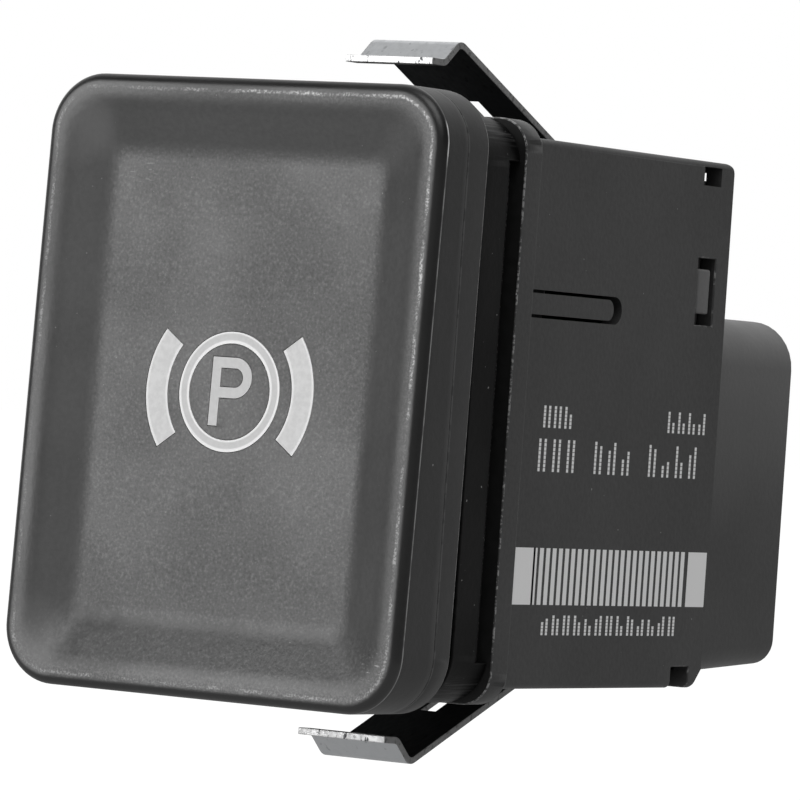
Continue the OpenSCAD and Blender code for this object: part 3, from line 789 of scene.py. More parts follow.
@dataclass
class Palette:
    """All the materials of the switch, each built once."""

    cap: Any = field(init=False)
    cap_side_shade: Any = field(init=False)
    inlay: Any = field(init=False)
    carrier: Any = field(init=False)
    carrier_edge: Any = field(init=False)
    carrier_rear_highlight: Any = field(init=False)
    neck_shade: Any = field(init=False)
    neck_edge_shade: Any = field(init=False)
    housing: Any = field(init=False)
    housing_edge: Any = field(init=False)
    collar_edge_highlight: Any = field(init=False)
    groove: Any = field(init=False)
    base: Any = field(init=False)
    base_edge: Any = field(init=False)
    clip: Any = field(init=False)
    clip_inner_shade: Any = field(init=False)
    clip_side: Any = field(init=False)
    clip_cut: Any = field(init=False)
    mark: Any = field(init=False)

    def __post_init__(self) -> None:
        """Builds the materials."""
        # Matt ABS with a worn rim, partly painted highlight, its edge painted near black as a painted
        # reflection: a soft sheen that shows the dish's slopes
        self.cap = CapPlastic(
            "soft-touch ABS cap",
            "#404040",
            0.4,
            grain_mm=0.3,
            grain_lift_mm=0.014,
            mottle=0.14,
            smudge=0.06,
            speck="#8e8e8e",
            speck_level=0.8,
            speck_mm=0.22,
            specular=0.74,
        ).build()
        # The same ABS on the cap's side, painted darker as shade
        self.cap_side_shade = MouldedPlastic(
            "ABS cap side in painted shade", "#212121", 0.5, mottle=0.1, speck_level=0.82
        ).build()
        self.inlay = InlayPlastic("white polycarbonate inlay", "#dddddd", 0.45).build()
        # Fine grained ABS, a little darker than the cap
        self.carrier = MouldedPlastic(
            "black ABS carrier", "#272727", 0.5, mottle=0.1, speck_level=0.83
        ).build()
        self.carrier_edge = RubbedEdge(
            "rubbed ABS carrier edge", "#272727", 0.45, rub="#4e4e4e", rub_level=0.42, rub_least=0.4
        ).build()
        # Partly rubbed, partly painted highlight: the carrier's pale rear edge
        self.carrier_rear_highlight = RubbedEdge(
            "rubbed ABS carrier rear edge with painted highlight",
            "#272727",
            0.45,
            rub="#a0a0a0",
            rub_level=0.42,
            rub_least=0.35,
            speck="#c8c8c8",
            speck_level=0.76,
        ).build()
        # Glass-filled nylon with rub streaks, painted near black as shade in the recess behind the button
        self.neck_shade = MouldedPlastic(
            "black nylon guide frame in painted shade",
            "#070707",
            0.5,
            speck="#8a8a8a",
            speck_level=0.77,
            speck_mm=0.3,
            streak=0.22,
            streak_above=15.2,
            specular=0.12,
        ).build()
        self.neck_edge_shade = RubbedEdge(
            "rubbed nylon guide edge in painted shade",
            "#070707",
            0.45,
            rub="#1c1c1c",
            rub_level=0.4,
            rub_least=0.6,
            speck="#d0d0d0",
            speck_level=0.8,
            specular=0.12,
        ).build()
        # Black polyamide with a fine even grain
        self.housing = MouldedPlastic(
            "black polyamide housing",
            "#303030",
            0.5,
            mottle=0.16,
            grain_mm=0.3,
            speck_level=0.81,
            mould_line=1.76,
        ).build()
        self.housing_edge = RubbedEdge(
            "rubbed polyamide housing edge", "#303030", 0.45, rub="#757575", rub_level=0.54
        ).build()
        # Partly scuffed, partly painted highlight: the collar's pale front edge
        self.collar_edge_highlight = RubbedEdge(
            "scuffed polyamide collar edge with painted highlight",
            "#303030",
            0.45,
            rub="#8a8a8a",
            rub_level=0.5,
            rub_mm=0.2,
            rub_least=0.08,
            speck="#e6e6e6",
            speck_level=0.76,
        ).build()
        # The same plastic in the groove behind the guide frame, where no light gets
        self.groove = PlainFinish(
            "shaded polyamide groove", "#0b0b0b", 0.6, second="#141414", grain_mm=0.5
        ).build()
        self.base = MouldedPlastic(
            "black PBT connector base",
            "#2f2f2f",
            0.48,
            mottle=0.12,
            grain_mm=0.35,
            speck_level=0.83,
            # Painted light: the connector grows paler towards the top
            top_light=0.3,
            top_light_from=-9,
            top_light_to=7.5,
        ).build()
        self.base_edge = RubbedEdge(
            "rubbed PBT connector edge",
            "#2f2f2f",
            0.45,
            rub="#6e6e6e",
            rub_level=0.6,
            top_light=0.3,
            top_light_from=-9,
            top_light_to=7.5,
        ).build()
        # Zinc plating: dull on the rolled faces, bright and torn on the blanked ones
        self.clip = PlatedSteel(
            "zinc-plated strip steel", "#c2c4c6", 0.34, fleck="#a2a4a6", fleck_level=0.72
        ).build()
        # Painted reflection: the clips' inner faces, darker as though mirroring the black housing
        self.clip_inner_shade = PlatedSteel(
            "steel inner face with painted dark reflection", "#46484a", 0.5, fleck="#2e3032", fleck_level=0.7
        ).build()
        self.clip_side = PlatedSteel(
            "sheared steel side", "#8c8c8c", 0.5, metallic=0.6, fleck="#6a6a6a", draw=(1, 1, 1)
        ).build()
        self.clip_cut = PlatedSteel(
            "blanked steel edge",
            "#ffffff",
            0.42,
            metallic=0.6,
            fleck="#5e6062",
            fleck_level=0.66,
            fleck_mm=0.2,
            draw=(1, 1, 0.5),
        ).build()
        self.mark = LaserPrint("laser marking", "#ffffff", 0.32).build()


# ------------------------------------------------------------- button


@dataclass
class PushButton:
    """The dished cap with its lit symbol, and the carrier behind it."""

    palette: Palette
    width: float = 27.7
    height: float = 36.0
    corner: float = 3.5
    depth: float = 3.3
    lean: float = 2.3
    edge_r: float = 0.6
    skirt: float = 1.0
    front_wall: float = 1.1
    well_side: float = 7.2
    well_in: float = 5.72
    dish_depth: float = 1.1
    dish_start: float = 0.9
    dish_end: float = 5.0
    rim_blend: float = 0.25
    floor_blend: float = 0.3
    floor_corner: float = 0.9
    seam_round: float = 0.12
    outline_gap: float = 0.045
    corner_steps: int = 18
    side_steps: int = 34
    slope_steps: int = 30

    def __post_init__(self) -> None:
        """Reads the cap's place from the CAD node."""
        low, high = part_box("button_cap")
        self.middle = (low.z + high.z) / 2 / MM
        self.seam = high.y / MM
        self.rim = self.seam - self.depth

    def ring(self, inset: float, corner: float) -> np.ndarray:
        """Gives a rounded rectangle's points, as X and Z from the cap's middle.

        Args:
            inset: Distance in from the cap's side.
            corner: Radius of the corners.

        Returns:
            An array of points, the same number for every ring.
        """
        a, b = self.width / 2 - inset - corner, self.height / 2 - inset - corner
        points: list[tuple[float, float]] = []
        centres = [(a, b, 0), (-a, b, 90), (-a, -b, 180), (a, -b, 270)]
        for i, (cx, cz, start) in enumerate(centres):
            for k in range(self.corner_steps + 1):
                t = math.radians(start + 90 * k / self.corner_steps)
                points.append((cx + corner * math.cos(t), cz + corner * math.sin(t)))
            nx, nz, turn = centres[(i + 1) % 4]
            t = math.radians(turn)
            end = (nx + corner * math.cos(t), nz + corner * math.sin(t))
            last = points[-1]
            for k in range(1, self.side_steps):
                s = k / self.side_steps
                points.append((last[0] + (end[0] - last[0]) * s, last[1] + (end[1] - last[1]) * s))
        return np.array(points)

    def slope(self) -> list[tuple[float, float]]:
        """Gives the dish's border: how far along, and how deep, from 0 to 1."""
        full = 1 - (self.rim_blend + self.floor_blend) / 2
        pairs: list[tuple[float, float]] = []
        for t in np.linspace(0, 1, self.slope_steps + 1):
            if t < self.rim_blend:
                deep = t * t / (2 * self.rim_blend)
            elif 1 - t < self.floor_blend:
                deep = full - (1 - t) ** 2 / (2 * self.floor_blend)
            else:
                deep = t - self.rim_blend / 2
            pairs.append((float(t), float(deep / full)))
        return pairs

    def shell(self) -> bpy.types.Object:
        """Lofts the cap's closed outer form."""
        lean = math.tan(math.radians(self.lean))
        rings: list[np.ndarray] = []

        def put(inset: float, corner: float, depth: float | None, share: float = 1) -> None:
            """Adds a ring at a depth behind the front, or a share of the way to the seam."""
            flat = self.ring(inset, corner)
            front = self.rim + (0 if depth is None else depth) + flat[:, 1] * lean
            y = front if depth is not None else front + 0
            if depth is None:
                start = self.rim + self.edge_r + flat[:, 1] * lean
                y = start + (self.seam - self.seam_round * (1 - inset / self.seam_round) - start) * share
            rings.append(np.column_stack([flat[:, 0], y, flat[:, 1] + self.middle]) * MM)

        for k in range(4):
            turn = math.radians(90 * k / 3)
            inset = self.seam_round * (1 - math.sin(turn))
            flat = self.ring(inset, self.corner - inset)
            y = np.full(len(flat), self.seam - self.seam_round * (1 - math.cos(turn)))
            rings.append(np.column_stack([flat[:, 0], y, flat[:, 1] + self.middle]) * MM)
        rear = rings[-1][:, 1] / MM
        flat = self.ring(0, self.corner)
        fore = self.rim + self.edge_r + flat[:, 1] * lean
        for k in range(1, 7):
            y = rear + (fore - rear) * k / 6
            rings.append(np.column_stack([flat[:, 0], y, flat[:, 1] + self.middle]) * MM)
        for k in range(1, 10):
            turn = math.radians(90 * k / 9)
            inset = self.edge_r * (1 - math.cos(turn))
            put(inset, self.corner - inset, self.edge_r * (1 - math.sin(turn)))
        start_corner = self.corner - self.dish_start
        for s, deep in self.slope():
            inset = self.dish_start + (self.dish_end - self.dish_start) * s
            corner = start_corner + (self.floor_corner - start_corner) * s
            put(inset, corner, self.dish_depth * deep)

        bm = bmesh.new()
        rows = [[bm.verts.new(p) for p in ring] for ring in rings]
        count = len(rows[0])
        for lower, upper in zip(rows, rows[1:]):
            for i in range(count):
                j = (i + 1) % count
                bm.faces.new((lower[i], upper[i], upper[j], lower[j]))
        bm.faces.new(rows[0])
        bm.faces.new(list(reversed(rows[-1])))
        bmesh.ops.recalc_face_normals(bm, faces=bm.faces)
        mesh = bpy.data.meshes.new("cap_shell")
        bm.to_mesh(mesh)
        bm.free()
        return new_object("cap_shell", mesh)

    def prism(self, name: str, flat: np.ndarray, y0: float | None, y1: float) -> bpy.types.Object:
        """Makes a closed prism along Y from points in X and Z.

        Args:
            name: The object's name.
            flat: The outline's points, in millimetres.
            y0: Front end, or None for a front parallel to the dish's floor.
            y1: Rear end.

        Returns:
            The prism as an object.
        """
        lean = math.tan(math.radians(self.lean))
        wall = self.rim + self.dish_depth + self.front_wall
        bm = bmesh.new()
        front = [
            bm.verts.new(
                (x * MM, (wall + (z - self.middle) * lean if y0 is None else y0) * MM, z * MM)
            )
            for x, z in flat
        ]
        rear = [bm.verts.new((x * MM, y1 * MM, z * MM)) for x, z in flat]
        for i in range(len(flat)):
            j = (i + 1) % len(flat)
            bm.faces.new((front[i], front[j], rear[j], rear[i]))
        bm.faces.new(front)
        bm.faces.new(list(reversed(rear)))
        bmesh.ops.recalc_face_normals(bm, faces=bm.faces)
        mesh = bpy.data.meshes.new(name)
        bm.to_mesh(mesh)
        bm.free()
        return new_object(name, mesh)

    def square(self, side: float) -> np.ndarray:
        """Gives a square's corners round the housing's middle."""
        h = side / 2
        return np.array([(h, h), (-h, h), (-h, -h), (h, -h)])

    def symbol_tool(self) -> bpy.types.Object:
        """Makes the symbol's recess from the inlay, a little larger all round."""
        bm = merged("symbol_inlay")
        front = direction(0, self.lean)
        moves: dict[int, Vector] = {}
        for vert in bm.verts:
            rows, gaps = [], []
            for face in vert.link_faces:
                if all(face.normal.dot(Vector(r)) < 0.999 for r in rows):
                    rows.append(tuple(face.normal))
                    faces_front = face.normal.dot(front) > 0.99
                    gaps.append((1.0 if faces_front else self.outline_gap) * MM)
            move = np.linalg.lstsq(np.array(rows), np.array(gaps), rcond=None)[0]
            moves[vert.index] = Vector(move)
        for vert in bm.verts:
            vert.co += moves[vert.index]
        mesh = bpy.data.meshes.new("symbol_tool")
        bm.to_mesh(mesh)
        bm.free()
        return new_object("symbol_tool", mesh)

    def measures(self, mesh: bpy.types.Mesh) -> None:
        """Stores each point's distance in from the side and back from the front.

        The faces of the cap's side get the second material, a copy painted darker as shade.
        """
        points = np.array([v.co for v in mesh.vertices]) / MM
        x, z = np.abs(points[:, 0]), np.abs(points[:, 2] - self.middle)
        qx = x - (self.width / 2 - self.corner)
        qz = z - (self.height / 2 - self.corner)
        outside = np.hypot(np.maximum(qx, 0), np.maximum(qz, 0))
        inset = self.corner - outside - np.minimum(np.maximum(qx, qz), 0)
        lean = math.tan(math.radians(self.lean))
        depth = points[:, 1] - self.rim - (points[:, 2] - self.middle) * lean
        for name, values in (("inset", inset), ("depth", depth)):
            made = mesh.attributes.new(name, "FLOAT", "POINT")
            made.data.foreach_set("value", values.astype(np.float32))
        for face in mesh.polygons:
            corners = list(face.vertices)
            beside = inset[corners].max() < self.seam_round * 1.1
            face.material_index = int(beside and depth[corners].min() > self.edge_r * 0.99)

    def cap(self) -> None:
        """Builds the cap with its hollow rear and the symbol's recess."""
        cap = self.shell()
        hollow = self.ring(self.skirt, self.corner - self.skirt) + [0, self.middle]
        cut(cap, self.prism("hollow", hollow, None, self.seam + 1), "DIFFERENCE")
        well = self.prism("well", self.square(self.well_side), self.rim + 2, self.seam - 0.02)
        cut(cap, well, "UNION")
        pocket = self.prism("pocket", self.square(self.well_in), None, self.seam + 1)
        cut(cap, pocket, "DIFFERENCE")
        cut(cap, self.symbol_tool(), "DIFFERENCE")
        cap.name = "dished_cap"
        cap.data.name = "dished_cap"
        cap.data.materials.clear()
        cap.data.materials.append(self.palette.cap)
        cap.data.materials.append(self.palette.cap_side_shade)
        self.measures(cap.data)
        smoothed(cap, 40)
        shown(cap, Body.BUTTON, "cap_plastic", "button_cap")

    def build(self) -> None:
        """Builds the button's pieces."""
        self.cap()
        dress("symbol_inlay", self.palette.inlay)
        refine(
            "button_carrier",
            "carrier_ring",
            Body.BUTTON,
            "carrier_plastic",
            (self.palette.carrier, self.palette.carrier_edge, self.palette.carrier_rear_highlight),
            0.12,
            lambda edge: True,
            # Rounded faces turned to the rear take the pale edge, partly painted highlight
            worn=lambda face: 2 if face.normal.y > 0.2 else 1,
        )
        acetal = PlainFinish("natural acetal", "#e6e1d2", 0.35, second="#d8d2c0")
        clear = PlainFinish("clear polycarbonate", "#eef3f6", 0.08, second="#e4ebf0", clear=0.9)
        dress("press_plate", acetal.build())
        dress("light_guide", clear.build())


def refine(
    node: str,
    name: str,
    body: Body,
    slot: str,
    materials: tuple[bpy.types.Material, ...],
    width: float,
    wanted: Callable[[bmesh.types.BMEdge], bool],
    paint: Callable[[bmesh.types.BMFace], int] | None = None,
    worn: Callable[[bmesh.types.BMFace], int] | None = None,
) -> bpy.types.Object:
    """Replaces a rigid CAD node by a copy with rounded, worn edges.

    Args:
        node: The CAD node.
        name: The new piece's name.
        body: The body that it rides on.
        slot: The record's material slot.
        materials: The face material and the edge material, then any others.
        width: Width of the rounding in millimetres.
        wanted: Says which convex edges are rounded.
        paint: Gives a face's material number before the edges are rounded.
        worn: Gives the material number of a rounded edge's face.

    Returns:
        The new piece.
    """
    bm = merged(node)
    bmesh.ops.dissolve_degenerate(bm, dist=0.005 * MM, edges=bm.edges)
    for face in bm.faces:
        face.material_index = paint(face) if paint else 0
    for run in runs([e for e in bm.edges if turns_out(e) and wanted(e)]):
        bmesh.ops.bevel(
            bm,
            geom=run,
            offset=width * MM,
            offset_type="OFFSET",
            segments=2,
            profile=0.5,
            affect="EDGES",
            clamp_overlap=True,
            material=1,
        )
    bm.normal_update()
    for face in bm.faces if worn else ():
        if face.material_index == 1:
            face.material_index = worn(face)
    mesh = bpy.data.meshes.new(name)
    bm.to_mesh(mesh)
    bm.free()
    made = new_object(name, mesh)
    for material in materials:
        mesh.materials.append(material)
    smoothed(made)
    shown(made, body, slot, node)
    return made


# ---------------------------------------------------- patterns by Geometry Nodes


class Rule:
    """A Geometry Nodes tree with named inputs that is baked to a plain mesh."""

    def __init__(self, name: str, sizes: dict[str, str]) -> None:
        """Starts the tree.

        Args:
            name: The tree's name.
            sizes: Socket types by input name.
        """
        self.tree = bpy.data.node_groups.new(name, "GeometryNodeTree")
        face = self.tree.interface
        self.ids: dict[str, str] = {}
        for label, kind in sizes.items():
            socket = face.new_socket(name=label, in_out="INPUT", socket_type=kind)
            self.ids[label] = socket.identifier
        face.new_socket(name="Geometry", in_out="OUTPUT", socket_type="NodeSocketGeometry")
        self.given = add_node(self.tree, "NodeGroupInput").outputs

    def add(self, kind: str, inputs: dict[Any, Any] | None = None, **settings: Any) -> Any:
        """Adds a node to the tree and gives its outputs."""
        return add_node(self.tree, kind, inputs, **settings).outputs

    def maths(self, how: str, a: Any, b: Any = 0.0) -> Any:
        """Gives the socket of a calculation with two numbers."""
        return self.add("ShaderNodeMath", {0: a, 1: b}, operation=how)[0]

    def end(self, geometry: Any) -> None:
        """Ends the tree: instances made real, and the material set."""
        real = self.add("GeometryNodeRealizeInstances", {0: geometry})[0]
        painted = self.add(
            "GeometryNodeSetMaterial", {"Geometry": real, "Material": self.given["Material"]}
        )[0]
        add_node(self.tree, "NodeGroupOutput", {0: painted})

    def mesh(self, name: str, values: dict[str, Any]) -> bpy.types.Mesh:
        """Bakes the tree with these inputs.

        Args:
            name: Name of the mesh.
            values: The inputs by name.

        Returns:
            A plain mesh.
        """
        host = new_object(name, bpy.data.meshes.new(name))
        mod = host.modifiers.new(name, "NODES")
        mod.node_group = self.tree
        for label, value in values.items():
            mod[self.ids[label]] = value
        graph = bpy.context.evaluated_depsgraph_get()
        made = bpy.data.meshes.new_from_object(host.evaluated_get(graph))
        bpy.data.objects.remove(host)
        return made


def joined(name: str, meshes: Iterable[bpy.types.Mesh]) -> bpy.types.Object:
    """Puts several meshes of one material into one object."""
    bm = bmesh.new()
    material = None
    for mesh in meshes:
        bm.from_mesh(mesh)
        material = mesh.materials[0] if mesh.materials else material
    whole = bpy.data.meshes.new(name)
    bm.to_mesh(whole)
    bm.free()
    whole.materials.append(material)
    return new_object(name, whole)


# --------------------------------------------------------------- housing


@dataclass
class SwitchHousing:
    """The guide frame and the box, with the plain marks on its right side."""

    palette: Palette
    side_x: float = 12.83
    mark_lift: float = 0.012
    finger_z: float = 6.48
    stripe_bottom: float = -11.15
    stripe_top: float = -7.8
    stripe_from: float = 1.85
    stripe_to: float = 24.3
    stripe_pitch: float = 0.72
    stripe_share: float = 0.6
    end_len: float = 2.25
    dot: float = 0.23

    def in_finger(self, edge: bmesh.types.BMEdge) -> bool:
        """Says if an edge belongs to the fine slits of a snap finger."""
        return all(
            abs(v.co.z / MM - self.finger_z) < 1.15 and 1.7 < v.co.y / MM < 12.3
            for v in edge.verts
        )

    def paint(self, face: bmesh.types.BMFace) -> int:
        """Gives the collar's front, which closes the groove, the shaded finish."""
        shaded = face.normal.y < -0.8 and face.calc_center_median().y < 0.4 * MM
        return 2 if shaded else 0

    def worn(self, face: bmesh.types.BMFace) -> int:
        """Gives the collar's front edge its scuffed finish, partly a painted highlight."""
        return 3 if face.calc_center_median().y < 0.2 * MM else 1

    def stripe_rule(self) -> Rule:
        """Builds the tree of a field of even stripes."""
        rule = Rule(
            "stripe field",
            {
                "Count": "NodeSocketInt",
                "Pitch": "NodeSocketFloat",
                "Height": "NodeSocketFloat",
                "Lift": "NodeSocketFloat",
                "Share": "NodeSocketFloat",
                "Start": "NodeSocketVector",
                "Material": "NodeSocketMaterial",
            },
        )
        given = rule.given
        step = rule.add("ShaderNodeCombineXYZ", {1: given["Pitch"]})[0]
        line = rule.add(
            "GeometryNodeMeshLine",
            {"Count": given["Count"], "Start Location": given["Start"], "Offset": step},
        )[0]
        size = rule.add("ShaderNodeCombineXYZ", {0: given["Lift"], 1: 1.0, 2: given["Height"]})[0]
        plate = rule.add("GeometryNodeMeshCube", {"Size": size})[0]
        width = rule.maths("MULTIPLY", given["Share"], given["Pitch"])
        scale = rule.add("ShaderNodeCombineXYZ", {0: 1.0, 1: width, 2: 1.0})[0]
        placed = rule.add(
            "GeometryNodeInstanceOnPoints", {"Points": line, "Instance": plate, "Scale": scale}
        )[0]
        rule.end(placed)
        return rule

    def tick_rule(self) -> Rule:
        """Builds the tree of a row of dotted ticks, in pairs of random height."""
        rule = Rule(
            "tick row",
            {
                "Columns": "NodeSocketInt",
                "Dots": "NodeSocketInt",
                "Pitch": "NodeSocketFloat",
                "Pair Gap": "NodeSocketFloat",
                "Dot Pitch": "NodeSocketFloat",
                "Dot Size": "NodeSocketVector",
                "Start": "NodeSocketVector",
                "Seed": "NodeSocketInt",
                "Material": "NodeSocketMaterial",
            },
        )
        given = rule.given
        count = rule.maths("MULTIPLY", given["Columns"], given["Dots"])
        points = rule.add("GeometryNodeMeshLine", {"Count": count})[0]
        index = rule.add("GeometryNodeInputIndex")[0]
        column = rule.maths("FLOOR", rule.maths("DIVIDE", index, given["Dots"]))
        row = rule.maths("SUBTRACT", index, rule.maths("MULTIPLY", column, given["Dots"]))
        pair = rule.maths("FLOOR", rule.maths("DIVIDE", column, 2.0))
        y = rule.maths(
            "ADD",
            rule.maths("MULTIPLY", column, given["Pitch"]),
            rule.maths("MULTIPLY", pair, given["Pair Gap"]),
        )
        z = rule.maths("MULTIPLY", row, given["Dot Pitch"])
        place = rule.add("ShaderNodeCombineXYZ", {1: y, 2: z})[0]
        place = rule.add(
            "ShaderNodeVectorMath", {0: place, 1: given["Start"]}, operation="ADD"
        )[0]
        points = rule.add("GeometryNodeSetPosition", {"Geometry": points, "Position": place})[0]
        full = rule.add(
            "FunctionNodeRandomValue",
            {2: 0.35, 3: 1.5, "ID": column, "Seed": given["Seed"]},
            data_type="FLOAT",
        )[1]
        height = rule.maths("DIVIDE", rule.maths("ADD", row, 0.5), given["Dots"])
        above = rule.maths("GREATER_THAN", height, full)
        points = rule.add(
            "GeometryNodeDeleteGeometry", {"Geometry": points, "Selection": above}
        )[0]
        plate = rule.add("GeometryNodeMeshCube", {"Size": given["Dot Size"]})[0]
        placed = rule.add("GeometryNodeInstanceOnPoints", {"Points": points, "Instance": plate})[0]
        rule.end(placed)
        return rule

    def marks(self) -> None:
        """Builds the plain marks: a stripe field and rows of dotted ticks."""
        rule, x = self.stripe_rule(), self.side_x
        middle = (self.stripe_bottom + self.stripe_top) / 2
        inner = self.stripe_to - self.stripe_from - 2 * self.end_len
        field_values = {
            "Count": int(inner / self.stripe_pitch) + 1,
            "Pitch": self.stripe_pitch * MM,
            "Height": (self.stripe_top - self.stripe_bottom) * MM,
            "Lift": 2 * self.mark_lift * MM,
            "Share": self.stripe_share,
            "Start": (x * MM, (self.stripe_from + self.end_len) * MM, middle * MM),
            "Material": self.palette.mark,
        }
        ends = dict(field_values, Count=2, Pitch=(inner + self.end_len) * MM)
        share = self.end_len / (inner + self.end_len)
        ends.update(Share=share)
        ends["Start"] = (x * MM, (self.stripe_from + self.end_len / 2) * MM, middle * MM)
        meshes = [rule.mesh("stripes", field_values), rule.mesh("stripe_ends", ends)]
        ticks = self.tick_rule()
        # Each row: first Y, columns, dots, pitch, pair gap, dot pitch, lowest Z
        rows = (
            (4.1, 6, 6, 0.55, 0.1, 0.22, -0.62),
            (18.6, 8, 6, 0.55, 0.14, 0.22, -0.5),
            (3.8, 6, 8, 0.6, 0.42, 0.245, -3.2),
            (10.2, 6, 8, 0.6, 0.42, 0.245, -3.2),
            (16.6, 8, 8, 0.6, 0.42, 0.245, -3.2),
            (5.4, 26, 6, 0.5, 0.24, 0.2, -12.85),
        )
        for k, (y, columns, dots, pitch, gap, step, z) in enumerate(rows):
            values = {
                "Columns": columns,
                "Dots": dots,
                "Pitch": pitch * MM,
                "Pair Gap": gap * MM,
                "Dot Pitch": step * MM,
                "Dot Size": (2 * self.mark_lift * MM, self.dot * MM, 0.86 * step * MM),
                "Start": (x * MM, y * MM, z * MM),
                "Seed": 3 + k,
                "Material": self.palette.mark,
            }
            meshes.append(ticks.mesh("ticks", values))
        shown(joined("side_marks", meshes), Body.HOUSING, "housing_plastic")

    def build(self) -> None:
        """Builds the guide frame, the box and its marks."""
        refine(
            "guide_frame",
            "guide_neck",
            Body.HOUSING,
            "frame_plastic",
            (self.palette.neck_shade, self.palette.neck_edge_shade),
            0.14,
            lambda edge: True,
        )
        refine(
            "housing",
            "switch_box",
            Body.HOUSING,
            "housing_plastic",
            (
                self.palette.housing,
                self.palette.housing_edge,
                self.palette.groove,
                self.palette.collar_edge_highlight,
            ),
            0.09,
            lambda edge: not self.in_finger(edge),
            self.paint,
            self.worn,
        )
        self.marks()


@dataclass
class RearConnector:
    """The base with its connector shroud, and the terminals in it."""

    palette: Palette

    def build(self) -> None:
        """Builds the base and dresses the terminals."""
        refine(
            "rear_base",
            "connector_base",
            Body.HOUSING,
            "base_plastic",
            (self.palette.base, self.palette.base_edge),
            0.14,
            lambda edge: True,
        )
        brass = PlainFinish(
            "tinned brass", "#b9b3a0", 0.3, metallic=1.0, second="#8f8466", grain_mm=0.5
        ).build()
        dress("terminals_left", brass)
        dress("terminals_right", brass)


@dataclass
class SpringClips:
    """The two bent steel clips that hold the housing in its panel."""

    palette: Palette

    def paint(self, face: bmesh.types.BMFace) -> int:
        """Gives the sheared sides and the lip's bright end their own finishes, and the inner faces a
        darker copy as a painted reflection.
        """
        if abs(face.normal.x) > 0.9:
            return 2
        middle = face.calc_center_median()
        small = face.calc_area() < 3.2 * MM * MM and face.normal.y < -0.8
        if small and middle.y < 4.6 * MM:
            return 3
        # Faces turned in towards the housing: painted reflection, darker
        return 4 if face.normal.z * middle.z < -0.2 * abs(middle.z) else 0

    def worn(self, face: bmesh.types.BMFace) -> int:
        """Gives the burr round the lip's end the same bright finish as the end."""
        middle = face.calc_center_median()
        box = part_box("clip_upper" if middle.z > 0 else "clip_lower")
        return 3 if middle.y < box[0].y + 0.15 * MM else 1

    def build(self) -> None:
        """Builds both clips."""
        palette = self.palette
        finishes = (
            palette.clip,
            palette.clip_side,
            palette.clip_side,
            palette.clip_cut,
            palette.clip_inner_shade,
        )
        for side, body in (("upper", Body.UPPER_CLIP), ("lower", Body.LOWER_CLIP)):
            refine(
                f"clip_{side}",
                f"spring_clip_{side}",
                body,
                "clip_steel",
                finishes,
                0.05,
                lambda edge: turns_out(edge, 50),
                self.paint,
                self.worn,
            )


@dataclass
class SwitchBoard:
    """The board with its switches and lamps, and the two return springs."""

    spring_r: float = 1.6
    wire_r: float = 0.2
    turns: float = 6.0
    travel: float = 1.7

    def coil_rule(self) -> Rule:
        """Builds the tree of a round wire wound round the Y axis."""
        rule = Rule(
            "return spring",
            {
                "Turns": "NodeSocketFloat",
                "Radius": "NodeSocketFloat",
                "Length": "NodeSocketFloat",
                "Wire": "NodeSocketFloat",
                "Start": "NodeSocketVector",
                "Material": "NodeSocketMaterial",
            },
        )
        given = rule.given
        coil = rule.add(
            "GeometryNodeCurveSpiral",
            {
                "Resolution": 28,
                "Rotations": given["Turns"],
                "Start Radius": given["Radius"],
                "End Radius": given["Radius"],
                "Height": given["Length"],
            },
        )[0]
        turned = rule.add(
            "GeometryNodeTransform",
            {"Geometry": coil, "Translation": given["Start"], "Rotation": (-math.pi / 2, 0, 0)},
        )[0]
        ring = rule.add(
            "GeometryNodeCurvePrimitiveCircle", {"Resolution": 10, "Radius": given["Wire"]}
        )[0]
        wire = rule.add(
            "GeometryNodeCurveToMesh", {"Curve": turned, "Profile Curve": ring, "Fill Caps": True}
        )[0]
        smooth = rule.add("GeometryNodeSetShadeSmooth", {0: wire})[0]
        rule.end(smooth)
        return rule

    def springs(self) -> None:
        """Winds both return springs."""
        steel = PlainFinish(
            "music wire", "#a9abad", 0.3, metallic=1.0, second="#6d6f72", grain_mm=0.4
        ).build()
        rule = self.coil_rule()
        for side in ("upper", "lower"):
            node = f"return_spring_{side}"
            low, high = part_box(node)
            length = high.y - low.y
            wire = self.wire_r * MM
            values = {
                "Turns": self.turns,
                "Radius": (self.spring_r) * MM,
                "Length": length - 2 * wire,
                "Wire": wire,
                "Start": ((low.x + high.x) / 2, low.y + wire, (low.z + high.z) / 2),
                "Material": steel,
            }
            spring = new_object(f"coil_{side}", rule.mesh(node, values))
            shown(spring, Body.HOUSING, "spring_steel", node)
            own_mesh(spring)

    def build(self) -> None:
        """Dresses the board's pieces and winds the springs."""
        laminate = PlainFinish(
            "FR4 laminate", "#234d30", 0.35, second="#183a23", grain_mm=1.2
        ).build()
        body = PlainFinish("black switch nylon", "#2f3338", 0.45, second="#24272b").build()
        acetal = PlainFinish("white acetal", "#cfcbc0", 0.35, second="#bdb8aa").build()
        lamp = PlainFinish("lamp resin", "#ece7cf", 0.2, second="#dcd3ae").build()
        ceramic = PlainFinish("resistor ceramic", "#1c1c1c", 0.4, second="#2c2c2c").build()
        dress("circuit_board", laminate)
        for side in ("left", "right"):
            dress(f"microswitch_{side}", body)
            dress(f"plunger_{side}", acetal)
        for node in ("backlight_led", "signal_led"):
            dress(node, lamp)
        dress("chip_resistors", ceramic)
        self.springs()


# ---------------------------------------------------------------- studio


@dataclass
class Lamp:
    """A soft lamp that faces the part."""

    name: str
    azimuth: float
    elevation: float
    distance: float
    width: float
    height: float
    watts: float

    def build(self) -> None:
        """Builds the lamp."""
        light = bpy.data.lights.new(self.name, "AREA")
        light.shape = "RECTANGLE"
        light.size = self.width
        light.size_y = self.height
        light.energy = self.watts
        made = bpy.data.objects.new(self.name, light)
        bpy.context.scene.collection.objects.link(made)
        towards = direction(self.azimuth, self.elevation)
        made.matrix_world = Matrix.Translation(towards * self.distance) @ towards.to_track_quat(
            "Z", "Y"
        ).to_matrix().to_4x4()


